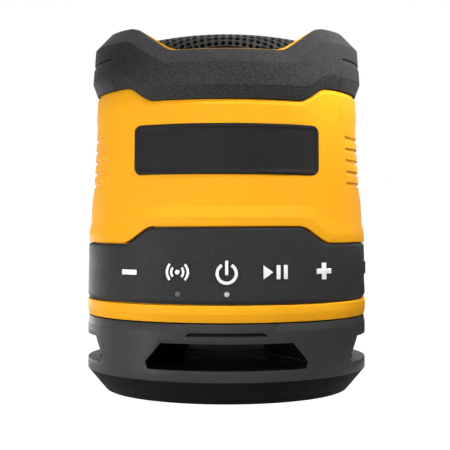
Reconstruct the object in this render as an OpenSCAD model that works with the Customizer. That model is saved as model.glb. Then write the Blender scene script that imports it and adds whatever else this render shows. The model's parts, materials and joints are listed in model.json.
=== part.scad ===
// Compact jobsite speaker: an upright drum with a domed grille on top, a rubber bumper,
// a control band with five keys and a vented base. The front faces -Y and +Z is up.
// The origin is the centre of the foot's underside. Millimetres.

/* [Overall] */
// Diameter of the base
body_d = 92.2; // [90:0.2:100]
// Gap that shows between neighbouring outer pieces
part_gap = 0.3; // [0.2:0.05:0.5]
// Clearance between fixed pieces that nest in each other
fit_gap = 0.15; // [0.1:0.01:0.2]

/* [Foot and base] */
// Height of the rubber foot ring
foot_h = 2.1; // [1.6:0.1:3]
// How far the foot's ground edge lies inside the base's edge
foot_inset = 6.1; // [5:0.1:7]
// Width of the foot ring
foot_w = 8; // [6.5:0.1:9]
// Height at which the base's lower slope ends
base_edge_z = 7.4; // [6:0.1:9]
// Thickness of the base's floor above the foot
floor_h = 8.7; // [7.5:0.1:11]
// Height of the side vents
vent_h = 8; // [5:0.1:11]
// Width of a vent at its top edge
vent_top_w = 39.7; // [30:0.1:42]
// Width of a vent where it is widest
vent_low_w = 49.2; // [42:0.1:52]
// Width of a vent at its floor
vent_floor_w = 47.6; // [40:0.1:50]
// Height of the vent's lower corner chamfer
vent_corner_h = 2.1; // [1:0.1:3]
// Width of a vent's inner throat at its top
throat_top_w = 23.2; // [16:0.1:26]
// Width of a vent's inner throat at its floor
throat_low_w = 26.8; // [20:0.1:30]
// Distance of the throat from the axis
throat_y = 17; // [14:0.1:20]
// Height of the belt above the vents
belt_h = 5.8; // [5:0.1:8]
// Height of the chamfer on the belt's top edge
belt_chamfer = 2.6; // [0.5:0.1:3]
// Width of the plain panel at the front of the belt
panel_w = 31; // [20:0.5:36]
// Width of the groove in that panel
groove_w = 24.6; // [12:0.2:28]
// Height of that groove
groove_h = 1.3; // [0.8:0.1:2]
// Diameter of the cover under the base
cover_d = 58; // [50:0.5:62]
// Thickness of the cover under the base
cover_t = 1.6; // [1.2:0.1:2]

/* [Trim ring and control band] */
// Height of the trim ring
ring_h = 5.2; // [4:0.1:7]
// Height of the chamfer at the trim ring's lower edge
ring_chamfer_h = 2.6; // [1:0.1:3]
// Height of the control band at the sides
band_h = 17.8; // [16.5:0.1:22]
// Extra height of the control band at the front
band_step = 5.1; // [3:0.1:7]
// Thickness of the control band
band_t = 2.4; // [2.2:0.1:3]
// Half width of the raised front of the band
step_in_x = 21.8; // [18:0.1:24]
// Half width at which the band has come down to its side height
step_out_x = 31.9; // [27:0.1:34]

/* [Housing] */
// Thickness of the housing's inner sleeve
sleeve_t = 3; // [2.6:0.1:3.6]
// How much narrower the body is at its shoulder than at its skirt
body_taper = 2.3; // [1:0.1:3]
// Height of the body at the sides, from the band to the shoulder
body_h = 47.6; // [44:0.1:56]
// How far the sloped facet above the band stands out
facet_out = 0.6; // [0.3:0.1:0.8]
// Height of the plain skirt under the facet
skirt_h = 2.7; // [1.5:0.1:4]
// Height of the facet
facet_h = 3.3; // [2:0.1:5]
// Bevel on the body's shoulder
shoulder_bevel = 1.3; // [0.5:0.1:2]
// Number of grip grooves on each side
grip_count = 5; // [3:1:6]
// Pitch of the grip grooves
grip_pitch = 3.65; // [3:0.05:4.5]
// Height of a grip groove
grip_groove_h = 1.2; // [1:0.1:2]
// Depth of a grip groove
grip_groove_d = 0.5; // [0.3:0.1:1.2]
// Depth of the shallow panel that holds the grooves
grip_panel_d = 0.4; // [0.2:0.1:0.6]
// Half angle of the grip panel
grip_panel_a = 37; // [32:1:38]
// Half angle of the grooves
grip_a = 30; // [16:1:32]
// Height of the grooves' middle above the body's lower edge
grip_up = 25.6; // [24:0.1:28]

/* [Nameplate] */
// Width of the blank nameplate across the front
plate_w = 56; // [40:0.5:62]
// Height of the nameplate
plate_h = 15; // [10:0.5:18]
// How far the nameplate stands out
plate_out = 0.6; // [0.3:0.1:1]
// Corner radius of the nameplate
plate_corner = 2; // [1:0.1:4]
// Height of the nameplate's middle above the body's lower edge
plate_up = 28.2; // [24:0.1:31]

/* [Bumper] */
// Height of the bumper at the wings
bumper_h = 20.2; // [18:0.1:26]
// How far the bumper's top dips at front and back
dip_h = 9.2; // [5:0.1:10.5]
// How far the crest of a wing falls towards its ends
crest_fall = 1; // [0:0.1:3]
// How far the bumper's lower edge drops at front and back
hem_drop = 4.5; // [2:0.1:5]
// Half width of the dip's flat middle
dip_x = 14.9; // [12:0.1:16]
// Width of the dip's slope
dip_run = 15; // [10:0.1:16]
// Azimuth at which the lower edge's slope starts
hem_a = 31.5; // [24:0.5:32]
// Azimuth spanned by the lower edge's slope
hem_ramp_a = 15; // [12:0.5:20]
// How far the bumper's lowest belt stands out from the body's shoulder
belt_out = 1.5; // [1:0.1:2]
// Height of the bumper's lower chamfer
hem_chamfer_h = 4.1; // [2:0.1:5]
// Height of the bumper's upper chamfer at the wings
crown_h = 5.2; // [3:0.1:6.5]
// Half angle of a bumper pad
pad_a = 36; // [24:1:38]
// Height of a bumper pad
pad_h = 10; // [8:0.1:12]
// How far a bumper pad stands out
pad_out = 0.35; // [0.2:0.05:0.6]

/* [Grille and driver] */
// Gap between the grille and the housing's rim
grille_gap = 0.5; // [0.3:0.05:0.9]
// Rise of the grille's dome
dome_h = 10.4; // [9:0.1:11]
// Radius of the dome's shoulder
dome_edge = 7; // [4:0.5:8]
// Openings across the grille
grille_across = 11; // [5:2:11]
// Width of the bars between the openings
grille_bar = 2.2; // [1.5:0.1:3]
// Thickness of the grille's sheet
grille_t = 0.8; // [0.5:0.1:1.2]
// Straight skirt of the grille under the dome
grille_skirt = 5.7; // [5:0.1:6]
// Gap between the driver's flange and the housing's rim
driver_gap = 1.1; // [0.6:0.05:1.2]
// Width of the driver's surround, from the cone to the frame
roll_w = 4; // [2.6:0.1:6]
// Diameter of the voice coil's former
coil_d = 20.3; // [18:0.1:24]
// Diameter of the magnet
magnet_d = 42; // [36:0.5:48]
// Thickness of the magnet
magnet_t = 8.5; // [6:0.1:10]
// Travel of the cone each way
cone_travel = 1.2; // [0.5:0.1:1.5]

/* [Radiator] */
// Width of the passive radiator's frame
radiator_frame_w = 6.35; // [5.6:0.05:8]
// Width of the radiator's surround
surround_w = 5; // [4:0.1:5.4]
// Travel of the radiator each way
radiator_travel = 1.5; // [0.5:0.1:2]

/* [Keys and port] */
// Azimuth of the outer keys
key_outer_a = 39.8; // [37:0.1:41]
// Azimuth of the inner keys
key_inner_a = 18.5; // [17.5:0.1:20]
// Height of the keys above the band's lower edge
key_up = 9.6; // [8.5:0.1:10]
// How far the key symbols stand out of the band
key_out = 0.45; // [0.2:0.05:0.8]
// Travel of a key
key_travel = 0.5; // [0.3:0.05:0.6]
// Clearance round a key symbol
key_gap = 0.18; // [0.12:0.02:0.3]
// Diameter of the light pipes
pipe_d = 1.5; // [1:0.1:1.8]
// Height of the light pipes above the band's lower edge
pipe_up = 3.1; // [2.6:0.1:4]
// Width of the port cover along the band
port_w = 17; // [15:0.1:19]
// Height of the port cover
port_h = 10.4; // [9:0.1:12]
// Thickness of the port cover
port_t = 1.6; // [1.3:0.1:1.8]
// Diameter of the port cover's hinge pin
hinge_pin_d = 1; // [0.8:0.1:1.2]
// Running clearance of the hinge
hinge_gap = 0.05; // [0.03:0.01:0.1]

/* [Battery and boards] */
// Diameter of a battery cell
cell_d = 18.2; // [16:0.1:18.6]
// Room between a battery cell's end and the bore
cell_end_gap = 3.43; // [2.5:0.01:8]
// Room between the main board and the chassis posts
board_gap = 2.25; // [1.5:0.05:4.5]
// Thickness of the boards
board_t = 1.6; // [1:0.1:1.6]
// Thickness of the chassis plate
chassis_t = 2; // [1.6:0.1:2.4]
// Shank diameter of the base screws
base_screw_d = 3; // [2.5:0.1:3.2]

/* [Hidden] */
$fn = 64;
fine = 720;
far = 2 * body_d;
eps = 0.01;
// How far a cut or a raised face runs past the face that it meets
past = 0.05;
// Extra diameter of a hole that a screw passes, and of one that its thread bites in
pass_gap = 0.3;
bite_gap = 0.1;

yellow = [0.99, 0.68, 0.12];
rubber = [0.13, 0.13, 0.13];
plastic = [0.2, 0.2, 0.21];
ink = [0.93, 0.93, 0.93];
steel = [0.72, 0.73, 0.75];
brass = [0.78, 0.62, 0.3];
green = [0.06, 0.34, 0.18];
blue = [0.18, 0.36, 0.66];

// Levels, from the ground up
z_vent = foot_h + floor_h;
z_ceiling = z_vent + vent_h;
z_base = z_ceiling + belt_h;
z_ring = z_base + part_gap;
z_ring_top = z_ring + ring_h;
z_band = z_ring_top + part_gap;
z_band_side = z_band + band_h;
z_body = z_band_side + part_gap;
z_facet = z_body + skirt_h;
z_facet_top = z_facet + facet_h;
z_shoulder = z_body + body_h;
z_hem = z_shoulder + fit_gap;
z_wing = z_hem + bumper_h;
z_dip = z_wing - dip_h;
z_key = z_band + key_up;
z_pipe = z_band + pipe_up;

// Radii, from the outside in
base_r = body_d / 2;
foot_r = base_r - foot_inset;
foot_slope = foot_inset / base_edge_z;
ring_out = 0.1;
ring_chamfer = 0.45;
band_taper = 0.3;
skirt_in = 0.4;
ring_r = base_r + ring_out;
ring_low_r = ring_r - ring_chamfer;
band_low_r = base_r;
band_top_r = base_r - band_taper;
band_in_r = band_low_r - band_t;
sleeve_r = band_in_r - fit_gap;
bore_r = sleeve_r - sleeve_t;
skirt_r = base_r - skirt_in;
body_low_r = skirt_r - facet_out;
body_top_r = body_low_r - body_taper;
hem_r = body_top_r;
belt_taper = 0.75;
crown_w = 4.85;
crown_flat_w = 2.2;
neck_in = 2.4;
lip_t = 1.6;
lip_up = 0.5;
belt_low_r = hem_r + belt_out;
belt_top_r = belt_low_r - belt_taper;
crown_r = belt_top_r - crown_w;
neck_r = body_top_r - neck_in;
lip_r = crown_r - crown_flat_w;
neck_in_r = lip_r - lip_t;

function ease(t) = let (u = min(1, max(0, t))) u * u * (3 - 2 * u);
function fold(a) = let (b = a % 180) b > 90 ? 180 - b : b;
function wing(x) = ease((x - dip_x) / dip_run);
function hem(a) = ease((fold(a) - hem_a) / hem_ramp_a);
function mix(a, b, t) = a + (b - a) * t;
function arc(cx, cz, rx, rz, a0, a1, n) =
  [for (i = [0 : n]) let (a = mix(a0, a1, i / n)) [cx + rx * cos(a), cz + rz * sin(a)]];
// Half of a step line, eased from one height to another
function slope(x0, z0, x1, z1, n = 8) =
  [for (i = [0 : n]) [mix(x0, x1, i / n), mix(z0, z1, ease(i / n))]];
function flip(points) = [for (i = [len(points) - 1 : -1 : 0]) [-points[i][0], points[i][1]]];
function body_r(z) = mix(body_low_r, body_top_r, (z - z_facet_top) / (z_shoulder - z_facet_top));
function band_r(z) = mix(band_low_r, band_top_r, (z - z_band) / band_h);

module revolve(points, steps = $fn) { rotate_extrude($fn = steps) polygon(points); }

module ring(r_in, r_out, z, h) {
  translate([0, 0, z]) difference() {
    cylinder(r = r_out, h = h);
    translate([0, 0, -1]) cylinder(r = r_in, h = h + 2);
  }
}

// Sector of a turned profile, centred on an azimuth that is measured from the front
module sector(azimuth, half_a, points) {
  rotate([0, 0, azimuth - 90 - half_a]) rotate_extrude(angle = 2 * half_a) polygon(points);
}

// Turns what is drawn at the front to an azimuth
module at(azimuth) { rotate([0, 0, azimuth]) children(); }

// Extrudes a front view outwards along the radius, between two distances from the axis
module radial(azimuth, z, r0, r1) {
  at(azimuth) translate([0, -r0, z]) rotate([90, 0, 0]) linear_extrude(r1 - r0) children();
}

// Extrudes a front view right through the object, or through its front half only
module through(front_only = false) {
  translate([0, front_only ? 0 : far, 0]) rotate([90, 0, 0])
    linear_extrude(front_only ? far : 2 * far) children();
}

module rounded(w, h, r) {
  square([w - 2 * r, h], center = true);
  square([w, h - 2 * r], center = true);
  for (x = [-1, 1]) for (y = [-1, 1]) translate([x * (w / 2 - r), y * (h / 2 - r)]) circle(r);
}

// Screw along +Z whose head sits under the origin
module screw(d, l, head_d, head_h) {
  translate([0, 0, -eps]) cylinder(d = d, h = l + eps);
  difference() {
    translate([0, 0, -head_h]) cylinder(d = head_d, h = head_h);
    translate([0, 0, -head_h - 1]) cylinder(d = d * 0.9, h = 1 + head_h * 0.6, $fn = 6);
  }
}

// Foot ring

foot_in_r = foot_r - foot_w;

module foot_ring() {
  color(rubber) revolve([
    [foot_in_r + 0.8, 0], [foot_r, 0], [foot_r + foot_slope * foot_h, foot_h], [foot_in_r, foot_h]
  ]);
}

// Base

pillar_count = 4;
post_root = 0.8;
base_head_d = base_screw_d + 2.6;
base_head_h = 2.2;
base_head_z = foot_h + base_head_h + 0.6;
boss_wall = 2.6;
boss_r = base_screw_d / 2 + boss_wall;
base_screw_r = bore_r - boss_r + post_root;
boss_top_z = z_band + 3.2;
cover_r = cover_d / 2;
cover_rim = 1.6;
cover_screw_count = 3;
cover_screw_in = 3;
cover_screw_r = cover_r - cover_screw_in;
cover_screw_d = 2;
cover_screw_sink = 0.9;
cover_screw_bite = 3;
cover_boss_r = 2.6;
vent_floor_t = 2.2;
hollow_z = z_vent - vent_floor_t;
groove_d = 0.9;
groove_end = 1.6;
plenum_lip = 0.8;
plenum_r = norm([throat_low_w / 2, throat_y]) + 0.6;
radiator_out_r = base_screw_r - boss_r - part_gap;
radiator_hole_r = radiator_out_r - radiator_frame_w;
radiator_open_r = radiator_hole_r + 1;
groove_up = 2.1;
groove_z = z_ceiling + groove_up;

// Half width of a vent's side line at a distance from the axis
function vent_x(w, throat_w, y) =
  mix(throat_w / 2, w / 2, (y - throat_y) / (sqrt(base_r * base_r - w * w / 4) - throat_y));

module vent() {
  y_out = base_r + 4;
  levels = [
    [z_vent, vent_floor_w, throat_low_w - 1],
    [z_vent + vent_corner_h, vent_low_w, throat_low_w],
    [z_ceiling, vent_top_w, throat_top_w]
  ];
  right = [for (y = [y_out, throat_y]) [for (l = levels) [vent_x(l[1], l[2], y), -y, l[0]]]];
  loops = [for (side = right)
    concat(side, [for (i = [2 : -1 : 0]) [-side[i][0], side[i][1], side[i][2]]])];
  polyhedron(
    points = concat(loops[0], loops[1]),
    faces = concat(
      [for (i = [1 : 4]) [0, i + 1, i]],
      [for (i = [1 : 4]) [6, 6 + i, 7 + i]],
      [for (i = [0 : 5]) let (j = (i + 1) % 6) [i, j, 6 + j]],
      [for (i = [0 : 5]) let (j = (i + 1) % 6) [i, 6 + j, 6 + i]]
    )
  );
}

// Outside of the base, whole
module base_body() {
  revolve([
    [0, foot_h], [foot_r + foot_slope * foot_h, foot_h], [base_r, base_edge_z],
    [base_r, z_base - belt_chamfer], [base_r - belt_chamfer * 0.15, z_base], [0, z_base]
  ]);
  // Plain panel at the front, without the belt's chamfer
  intersection() {
    translate([0, 0, z_ceiling]) cylinder(r = base_r, h = belt_h);
    through(front_only = true) polygon([
      [-panel_w / 2, z_base], [panel_w / 2, z_base],
      [panel_w / 2 - belt_h, z_ceiling], [-panel_w / 2 + belt_h, z_ceiling]
    ]);
  }
}

// Floor with the four pillars between the vents
module base() {
  color(plastic) difference() {
    intersection() {
      base_body();
      cylinder(r = far, h = z_ceiling);
    }
    for (i = [0 : pillar_count - 1]) at(360 / pillar_count * i) vent();
    translate([0, 0, z_vent]) cylinder(r = plenum_r, h = far);
    translate([0, 0, z_ceiling - plenum_lip]) cylinder(r = radiator_open_r, h = far);
    // Hollow under the floor, and the seat of its cover
    translate([0, 0, foot_h - 1]) cylinder(r = cover_r + fit_gap, h = cover_t + 1);
    difference() {
      translate([0, 0, foot_h]) cylinder(r = cover_r - cover_rim, h = hollow_z - foot_h);
      for (i = [0 : cover_screw_count - 1]) at(360 / cover_screw_count * i)
        translate([0, -cover_screw_r, 0]) cylinder(r = cover_boss_r, h = hollow_z + 1);
    }
    for (i = [0 : cover_screw_count - 1]) at(360 / cover_screw_count * i)
      translate([0, -cover_screw_r, 0])
        cylinder(d = cover_screw_d + bite_gap, h = foot_h + cover_t + cover_screw_bite + 1);
    for (i = [0 : pillar_count - 1]) at(45 + 360 / pillar_count * i) translate([0, -base_screw_r, 0]) {
      cylinder(d = base_head_d + 0.6, h = base_head_z);
      cylinder(d = base_screw_d + pass_gap, h = far);
    }
  }
}

// Belt on the pillars, which carries the radiator
module base_belt() {
  color(plastic) difference() {
    base_body();
    cylinder(r = far, h = z_ceiling);
    cylinder(r = radiator_open_r, h = far);
    // Groove in the front panel
    difference() {
      through(front_only = true) polygon([
        [-groove_w / 2, groove_z], [groove_w / 2, groove_z],
        [groove_w / 2 - groove_end, groove_z + groove_h],
        [-groove_w / 2 + groove_end, groove_z + groove_h]
      ]);
      cylinder(r = base_r - groove_d, h = far);
    }
    for (i = [0 : pillar_count - 1]) at(45 + 360 / pillar_count * i) translate([0, -base_screw_r, 0])
      cylinder(d = base_screw_d + pass_gap, h = far);
    for (i = [0 : 3]) at(90 * i) translate([0, -radiator_screw_r, z_base - radiator_screw_bite - 0.6])
      cylinder(d = radiator_screw_d + bite_gap, h = far);
  }
}

module base_screws() {
  color(steel) for (i = [0 : pillar_count - 1]) at(45 + 360 / pillar_count * i)
    translate([0, -base_screw_r, base_head_z])
      screw(base_screw_d, boss_top_z - 2 - base_head_z, base_head_d, base_head_h);
}

module bottom_cover() {
  color(plastic) difference() {
    translate([0, 0, foot_h]) cylinder(r = cover_r, h = cover_t);
    for (i = [0 : cover_screw_count - 1]) at(360 / cover_screw_count * i)
      translate([0, -cover_screw_r, 0]) {
        cylinder(d = cover_screw_d + pass_gap, h = far);
        cylinder(d = cover_screw_d + 2.2, h = foot_h + cover_screw_sink);
      }
  }
}

module bottom_cover_screws() {
  color(steel) for (i = [0 : cover_screw_count - 1]) at(360 / cover_screw_count * i)
    translate([0, -cover_screw_r, foot_h + cover_screw_sink])
      screw(cover_screw_d, cover_t - cover_screw_sink + cover_screw_bite, cover_screw_d + 1.8, 0.8);
}

// Seal between the base and the housing's sleeve
seal_h = 0.8;
seal_in = 0.5;
z_sleeve = z_base + seal_h;

module base_seal() {
  color(rubber) ring(bore_r + post_root + fit_gap, sleeve_r - seal_in, z_base, seal_h);
}

// Trim ring

module lower_trim_ring() {
  color(yellow) revolve([
    [sleeve_r + fit_gap, z_ring], [ring_low_r, z_ring], [ring_r, z_ring + ring_chamfer_h],
    [ring_r, z_ring_top - 0.3], [ring_r - 0.3, z_ring_top], [sleeve_r + fit_gap, z_ring_top]
  ]);
}

// Control band

// Front view of what lies under the band's step, grown by a gap
module under_step(gap_z = 0, gap_x = 0) {
  low = z_band_side + gap_z;
  right = slope(step_in_x + gap_x, low + band_step, step_out_x + gap_x, low);
  polygon(concat([[-step_out_x - gap_x, 0]], flip(right), right, [[step_out_x + gap_x, 0]]));
}

module band_ring(h) {
  top = z_band + h;
  revolve([
    [band_in_r, z_band], [band_low_r - 0.8, z_band], [band_low_r - 0.2, z_band + 0.6],
    [band_r(z_band + 1.8), z_band + 1.8], [band_r(top - 0.9), top - 0.9],
    [band_r(top) - 0.5, top], [band_in_r, top]
  ]);
}

module band_body() {
  band_ring(band_h);
  intersection() {
    band_ring(band_h + band_step);
    through(front_only = true) under_step();
  }
}

module control_band() {
  color(rubber) difference() {
    band_body();
    key_windows();
    for (a = [0, -key_inner_a]) radial(a, z_pipe, bore_r, far) circle(d = pipe_d + 2 * fit_gap);
    port_pocket();
    translate([0, 0, z_port - hinge_pin_l / 2]) hinge_axis()
      cylinder(d = hinge_pin_d + hinge_press_gap, h = hinge_pin_l);
  }
}

// Keys: the symbols stand through windows in the band, on a flange behind it

bar_w = 6.2;
bar_h = 1.6;
cross_h = 5.1;
cross_bar_w = 2;
power_r = 3.3;
power_stroke = 0.95;
play_h = 4.2;
wave_stroke = 0.8;
flange_w = 10.4;
flange_h = 9;
flange_t = 1.5;
stem_d = 3.2;
power_gap_w = 2.8;
power_bar_h = 4.3;
power_bar_up = 1.7;
power_drop = 0.35;
play_left_x = -3.95;
play_tip_x = -0.95;
pause_xs = [0.75, 3.1];
pause_w = 1.3;
dot_r = 0.75;
wave_rs = [1.9, 3.3];
key_root = 0.4;
window_gap = 0.3;

module minus_symbol(g) { square([bar_w + 2 * g, bar_h + 2 * g], center = true); }

module plus_symbol(g) {
  minus_symbol(g);
  square([cross_bar_w + 2 * g, cross_h + 2 * g], center = true);
}

module power_symbol(g) {
  difference() {
    circle(power_r + g);
    circle(power_r - power_stroke - g);
    translate([0, power_r]) square([power_gap_w - 2 * g, 2 * power_r], center = true);
  }
  translate([0, power_bar_up]) square([power_stroke + 2 * g, power_bar_h + 2 * g], center = true);
}

module play_symbol(g) {
  polygon([
    [play_left_x - g, -play_h / 2 - 2 * g], [play_tip_x + 2 * g, 0], [play_left_x - g, play_h / 2 + 2 * g]
  ]);
  for (x = pause_xs) translate([x, 0]) square([pause_w + 2 * g, play_h + 2 * g], center = true);
}

// Dot between two pairs of waves
module wave_symbol(g) {
  circle(dot_r + g);
  for (side = [-1, 1]) for (r = wave_rs) intersection() {
    difference() {
      circle(r + wave_stroke / 2 + g);
      circle(r - wave_stroke / 2 - g);
    }
    translate([side * g * -1.4, 0]) polygon([[0, 0], [side * 6, 6], [side * 6, -6]]);
  }
}

module key_symbol(i, g) {
  if (i == -2) minus_symbol(g);
  if (i == -1) wave_symbol(g);
  if (i == 0) translate([0, -power_drop]) power_symbol(g);
  if (i == 1) play_symbol(g);
  if (i == 2) plus_symbol(g);
}

function key_azimuth(i) = sign(i) * (abs(i) == 2 ? key_outer_a : abs(i) == 1 ? key_inner_a : 0);
flange_r = band_in_r - fit_gap;
key_back_r = flange_r - flange_t;
stem_tip_r = bore_r + 0.2;

module key_windows() {
  for (i = [-2 : 2]) radial(key_azimuth(i), z_key, bore_r, far) key_symbol(i, key_gap);
}

module key(i) {
  intersection() {
    radial(key_azimuth(i), z_key, key_back_r + key_root, far) key_symbol(i, 0);
    revolve([
      [0, z_band], [band_low_r + key_out, z_band],
      [band_r(z_band_side) + key_out, z_band_side], [0, z_band_side]
    ], fine);
  }
  intersection() {
    radial(key_azimuth(i), z_key, key_back_r, far) rounded(flange_w, flange_h, 1);
    cylinder(r = flange_r, h = far, $fn = fine);
  }
  radial(key_azimuth(i), z_key, stem_tip_r, key_back_r + key_root) circle(d = stem_d);
}

module key_volume_down() { color(ink) key(-2); }
module key_pair() { color(ink) key(-1); }
module key_power() { color(ink) key(0); }
module key_play() { color(ink) key(1); }
module key_volume_up() { color(ink) key(2); }

// Switches, lights and their curved board

switch_h = 2.1;
switch_w = 5.2;
switch_pin_d = 2.6;
switch_pin_h = 0.6;
led_h = 0.7;
led_gap = 0.2;
solder_gap = 0.02;
switch_top_r = stem_tip_r - key_travel - 0.05;
switch_base_r = switch_top_r - switch_h;
strip_r = switch_base_r - solder_gap;
strip_t = 1;
strip_h = 10.4;
strip_tab_in = 3.2;
strip_tab_h = 1.8;
strip_a = key_outer_a + 10;
pipe_collar = 0.6;
pipe_back_r = switch_base_r + led_h + led_gap;

// Curved strip, with a lower tab that carries the two lights
module switch_board() {
  low = z_key - strip_h / 2;
  high = z_key + strip_h / 2;
  end_x = strip_r * sin(strip_a);
  tab_x0 = -strip_r * sin(key_inner_a) - strip_tab_in;
  tab_z = z_pipe - strip_tab_h;
  color(green) intersection() {
    ring(strip_r - strip_t, strip_r, tab_z - 1, high - tab_z + 2);
    through(front_only = true) polygon([
      [-end_x, low], [tab_x0, low], [tab_x0, tab_z], [strip_tab_in, tab_z],
      [strip_tab_in, low], [end_x, low], [end_x, high], [-end_x, high]
    ]);
  }
}

module tact_switches() {
  color(steel) for (i = [-2 : 2]) {
    radial(key_azimuth(i), z_key, switch_base_r, switch_top_r - switch_pin_h)
      rounded(switch_w, switch_w, 0.5);
    radial(key_azimuth(i), z_key, switch_top_r - switch_pin_h - 0.1, switch_top_r)
      circle(d = switch_pin_d);
  }
}

module indicator_leds() {
  color(ink) for (a = [0, -key_inner_a])
    radial(a, z_pipe, switch_base_r, switch_base_r + led_h) square([1.6, 1.2], center = true);
}

module light_pipe(a) {
  intersection() {
    radial(a, z_pipe, pipe_back_r, far) circle(d = pipe_d);
    cylinder(r = band_r(z_pipe) + 0.05, h = far);
  }
  radial(a, z_pipe, pipe_back_r, bore_r - fit_gap) circle(d = pipe_d + 2 * pipe_collar);
}

module pair_light_pipe() { color(ink) light_pipe(-key_inner_a); }
module power_light_pipe() { color(ink) light_pipe(0); }

// Charging port: socket, board, and a cover on an upright hinge pin

port_a = 90;
z_port = z_key;
port_half_a = port_w / 2 / base_r * 180 / PI;
hinge_a = port_half_a + 0.4;
knuckle_wall = 0.5;
knuckle_h = port_h - 0.4;
hinge_back_wall = 0.2;
hinge_barrel_gap = 0.2;
knuckle_r = hinge_pin_d / 2 + knuckle_wall;
hinge_r = band_in_r + hinge_back_wall + hinge_barrel_gap + knuckle_r;
hinge_pin_l = port_h + 3.2;
hinge_press_gap = 0.04;
port_tab_h = 4.2;
port_tab_out = 0.55;
port_tab_root = 1;
port_back_gap = 0.25;
port_edge_a = 0.35;
socket_wall = 0.3;
socket_gap = 0.25;
tongue_w = 6.6;
tongue_t = 0.7;
plug_w = 12.4;
plug_h = 6.6;
socket_w = 8.9;
socket_h = 3.2;
socket_l = 7.2;
socket_mouth_r = bore_r + 2;
socket_back_r = socket_mouth_r - socket_l;

module hinge_axis() { at(port_a + hinge_a) translate([0, -hinge_r, 0]) children(); }

// Turned strip of the port cover, between two azimuths from its middle
module cover_strip(a0, a1, r0, r1, h) {
  sector(port_a + (a0 + a1) / 2, (a1 - a0) / 2, [
    [r0, z_port - h / 2], [r1, z_port - h / 2], [r1, z_port + h / 2], [r0, z_port + h / 2]
  ]);
}

module port_pocket() {
  floor_r = band_r(z_port) - port_t - port_back_gap;
  cover_strip(-port_half_a - port_edge_a, hinge_a, floor_r, base_r + 2, port_h + 2 * part_gap);
  barrel_h = port_h + 2 * part_gap + 4 * hinge_barrel_gap;
  translate([0, 0, z_port - barrel_h / 2]) hinge_axis()
    cylinder(r = knuckle_r + hinge_barrel_gap, h = barrel_h);
  radial(port_a, z_port, bore_r, far) rounded(plug_w, plug_h, 2);
}

module port_cover() {
  face_r = band_r(z_port);
  color(rubber) difference() {
    union() {
      cover_strip(-port_half_a, hinge_a - 0.5, face_r - port_t, face_r - 0.05, port_h);
      cover_strip(-port_half_a * 0.75, -port_half_a * 0.35, face_r - port_tab_root,
        face_r + port_tab_out, port_tab_h);
      translate([0, 0, z_port - knuckle_h / 2]) hinge_axis() cylinder(r = knuckle_r, h = knuckle_h);
    }
    hinge_axis() cylinder(d = hinge_pin_d + 2 * hinge_gap, h = far);
  }
}

module port_cover_pin() {
  color(steel) translate([0, 0, z_port - hinge_pin_l / 2]) hinge_axis()
    cylinder(d = hinge_pin_d, h = hinge_pin_l);
}

module stadium(w, h) {
  square([w - h, h], center = true);
  for (x = [-1, 1]) translate([x * (w - h) / 2, 0]) circle(d = h);
}

module usb_socket() {
  color(steel) {
    difference() {
      radial(port_a, z_port, socket_back_r, socket_mouth_r) stadium(socket_w, socket_h);
      radial(port_a, z_port, socket_back_r + 1, far)
        stadium(socket_w - 2 * socket_wall, socket_h - 2 * socket_wall);
    }
    radial(port_a, z_port, socket_back_r + 0.5, socket_mouth_r - 0.8)
      square([tongue_w, tongue_t], center = true);
  }
}

usb_board_w = 16;
usb_board_h = 12;

module usb_board() {
  color(green) radial(port_a, z_port, socket_back_r - board_t, socket_back_r)
    square([usb_board_w, usb_board_h], center = true);
}

// Housing

z_lip = z_wing - crest_fall;
z_neck = z_dip - 4.2;
z_ledge_top = z_dip - 9.4;
ledge_t = 3;
z_ledge = z_ledge_top - ledge_t;
gasket_t = 1;
flange_thick = 1.2;
z_flange = z_ledge_top + gasket_t;
z_flange_top = z_flange + flange_thick;
driver_r = neck_in_r - driver_gap;
driver_seat_w = 5.4;
driver_cut_r = driver_r - driver_seat_w;
neck_wall = 1.5;
chassis_post_a = 62;
chassis_post_r = 3.8;
chassis_screw_r = bore_r - chassis_post_r + post_root;
chassis_screw_d = 2.4;
z_chassis = z_key + 6.4;
chassis_post_l = 8;
grip_mid_z = z_body + grip_up;
grip_half_h = ((grip_count - 1) * grip_pitch + grip_groove_h) / 2;
grip_low_ramp = 4;
grip_top_ramp = 2;
grip_panel_low_z = grip_mid_z - grip_half_h - grip_low_ramp - 1.1;
grip_panel_top_z = grip_mid_z + grip_half_h + grip_top_ramp + 4.4;
plate_mid_z = z_body + plate_up;

module body_profile() {
  revolve([
    [bore_r, z_sleeve], [sleeve_r, z_sleeve], [sleeve_r, z_body], [skirt_r, z_body],
    [skirt_r - 0.05, z_facet], [body_low_r, z_facet_top],
    [body_r(z_shoulder - shoulder_bevel), z_shoulder - shoulder_bevel],
    [body_top_r - 0.6, z_shoulder], [neck_r, z_shoulder], [neck_r, z_neck], [lip_r, z_neck],
    [lip_r, z_lip], [neck_in_r, z_lip], [neck_in_r, z_ledge_top], [driver_cut_r, z_ledge_top],
    [driver_cut_r, z_ledge], [bore_r, z_shoulder - hem_drop - neck_wall]
  ]);
  // The skirt and facet rise with the band's step
  intersection() {
    revolve([
      [sleeve_r - 1, z_body], [skirt_r, z_body], [skirt_r - 0.05, z_facet + band_step],
      [body_r(z_facet_top + band_step) - past, z_facet_top + band_step],
      [sleeve_r - 1, z_facet_top + band_step]
    ]);
    through(front_only = true) under_step(part_gap + skirt_h + facet_h, facet_h);
  }
}

// Front view of what is cut away above the lip's dip
module over_dip() {
  low = z_dip + lip_up;
  right = [for (i = [0 : 10]) let (x = dip_x + dip_run * i / 10) [x, mix(low, z_lip, wing(x))]];
  top = z_lip + 5;
  end = dip_x + dip_run;
  polygon(concat([[-end, top]], flip(right), right, [[end, top]]));
}

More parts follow.
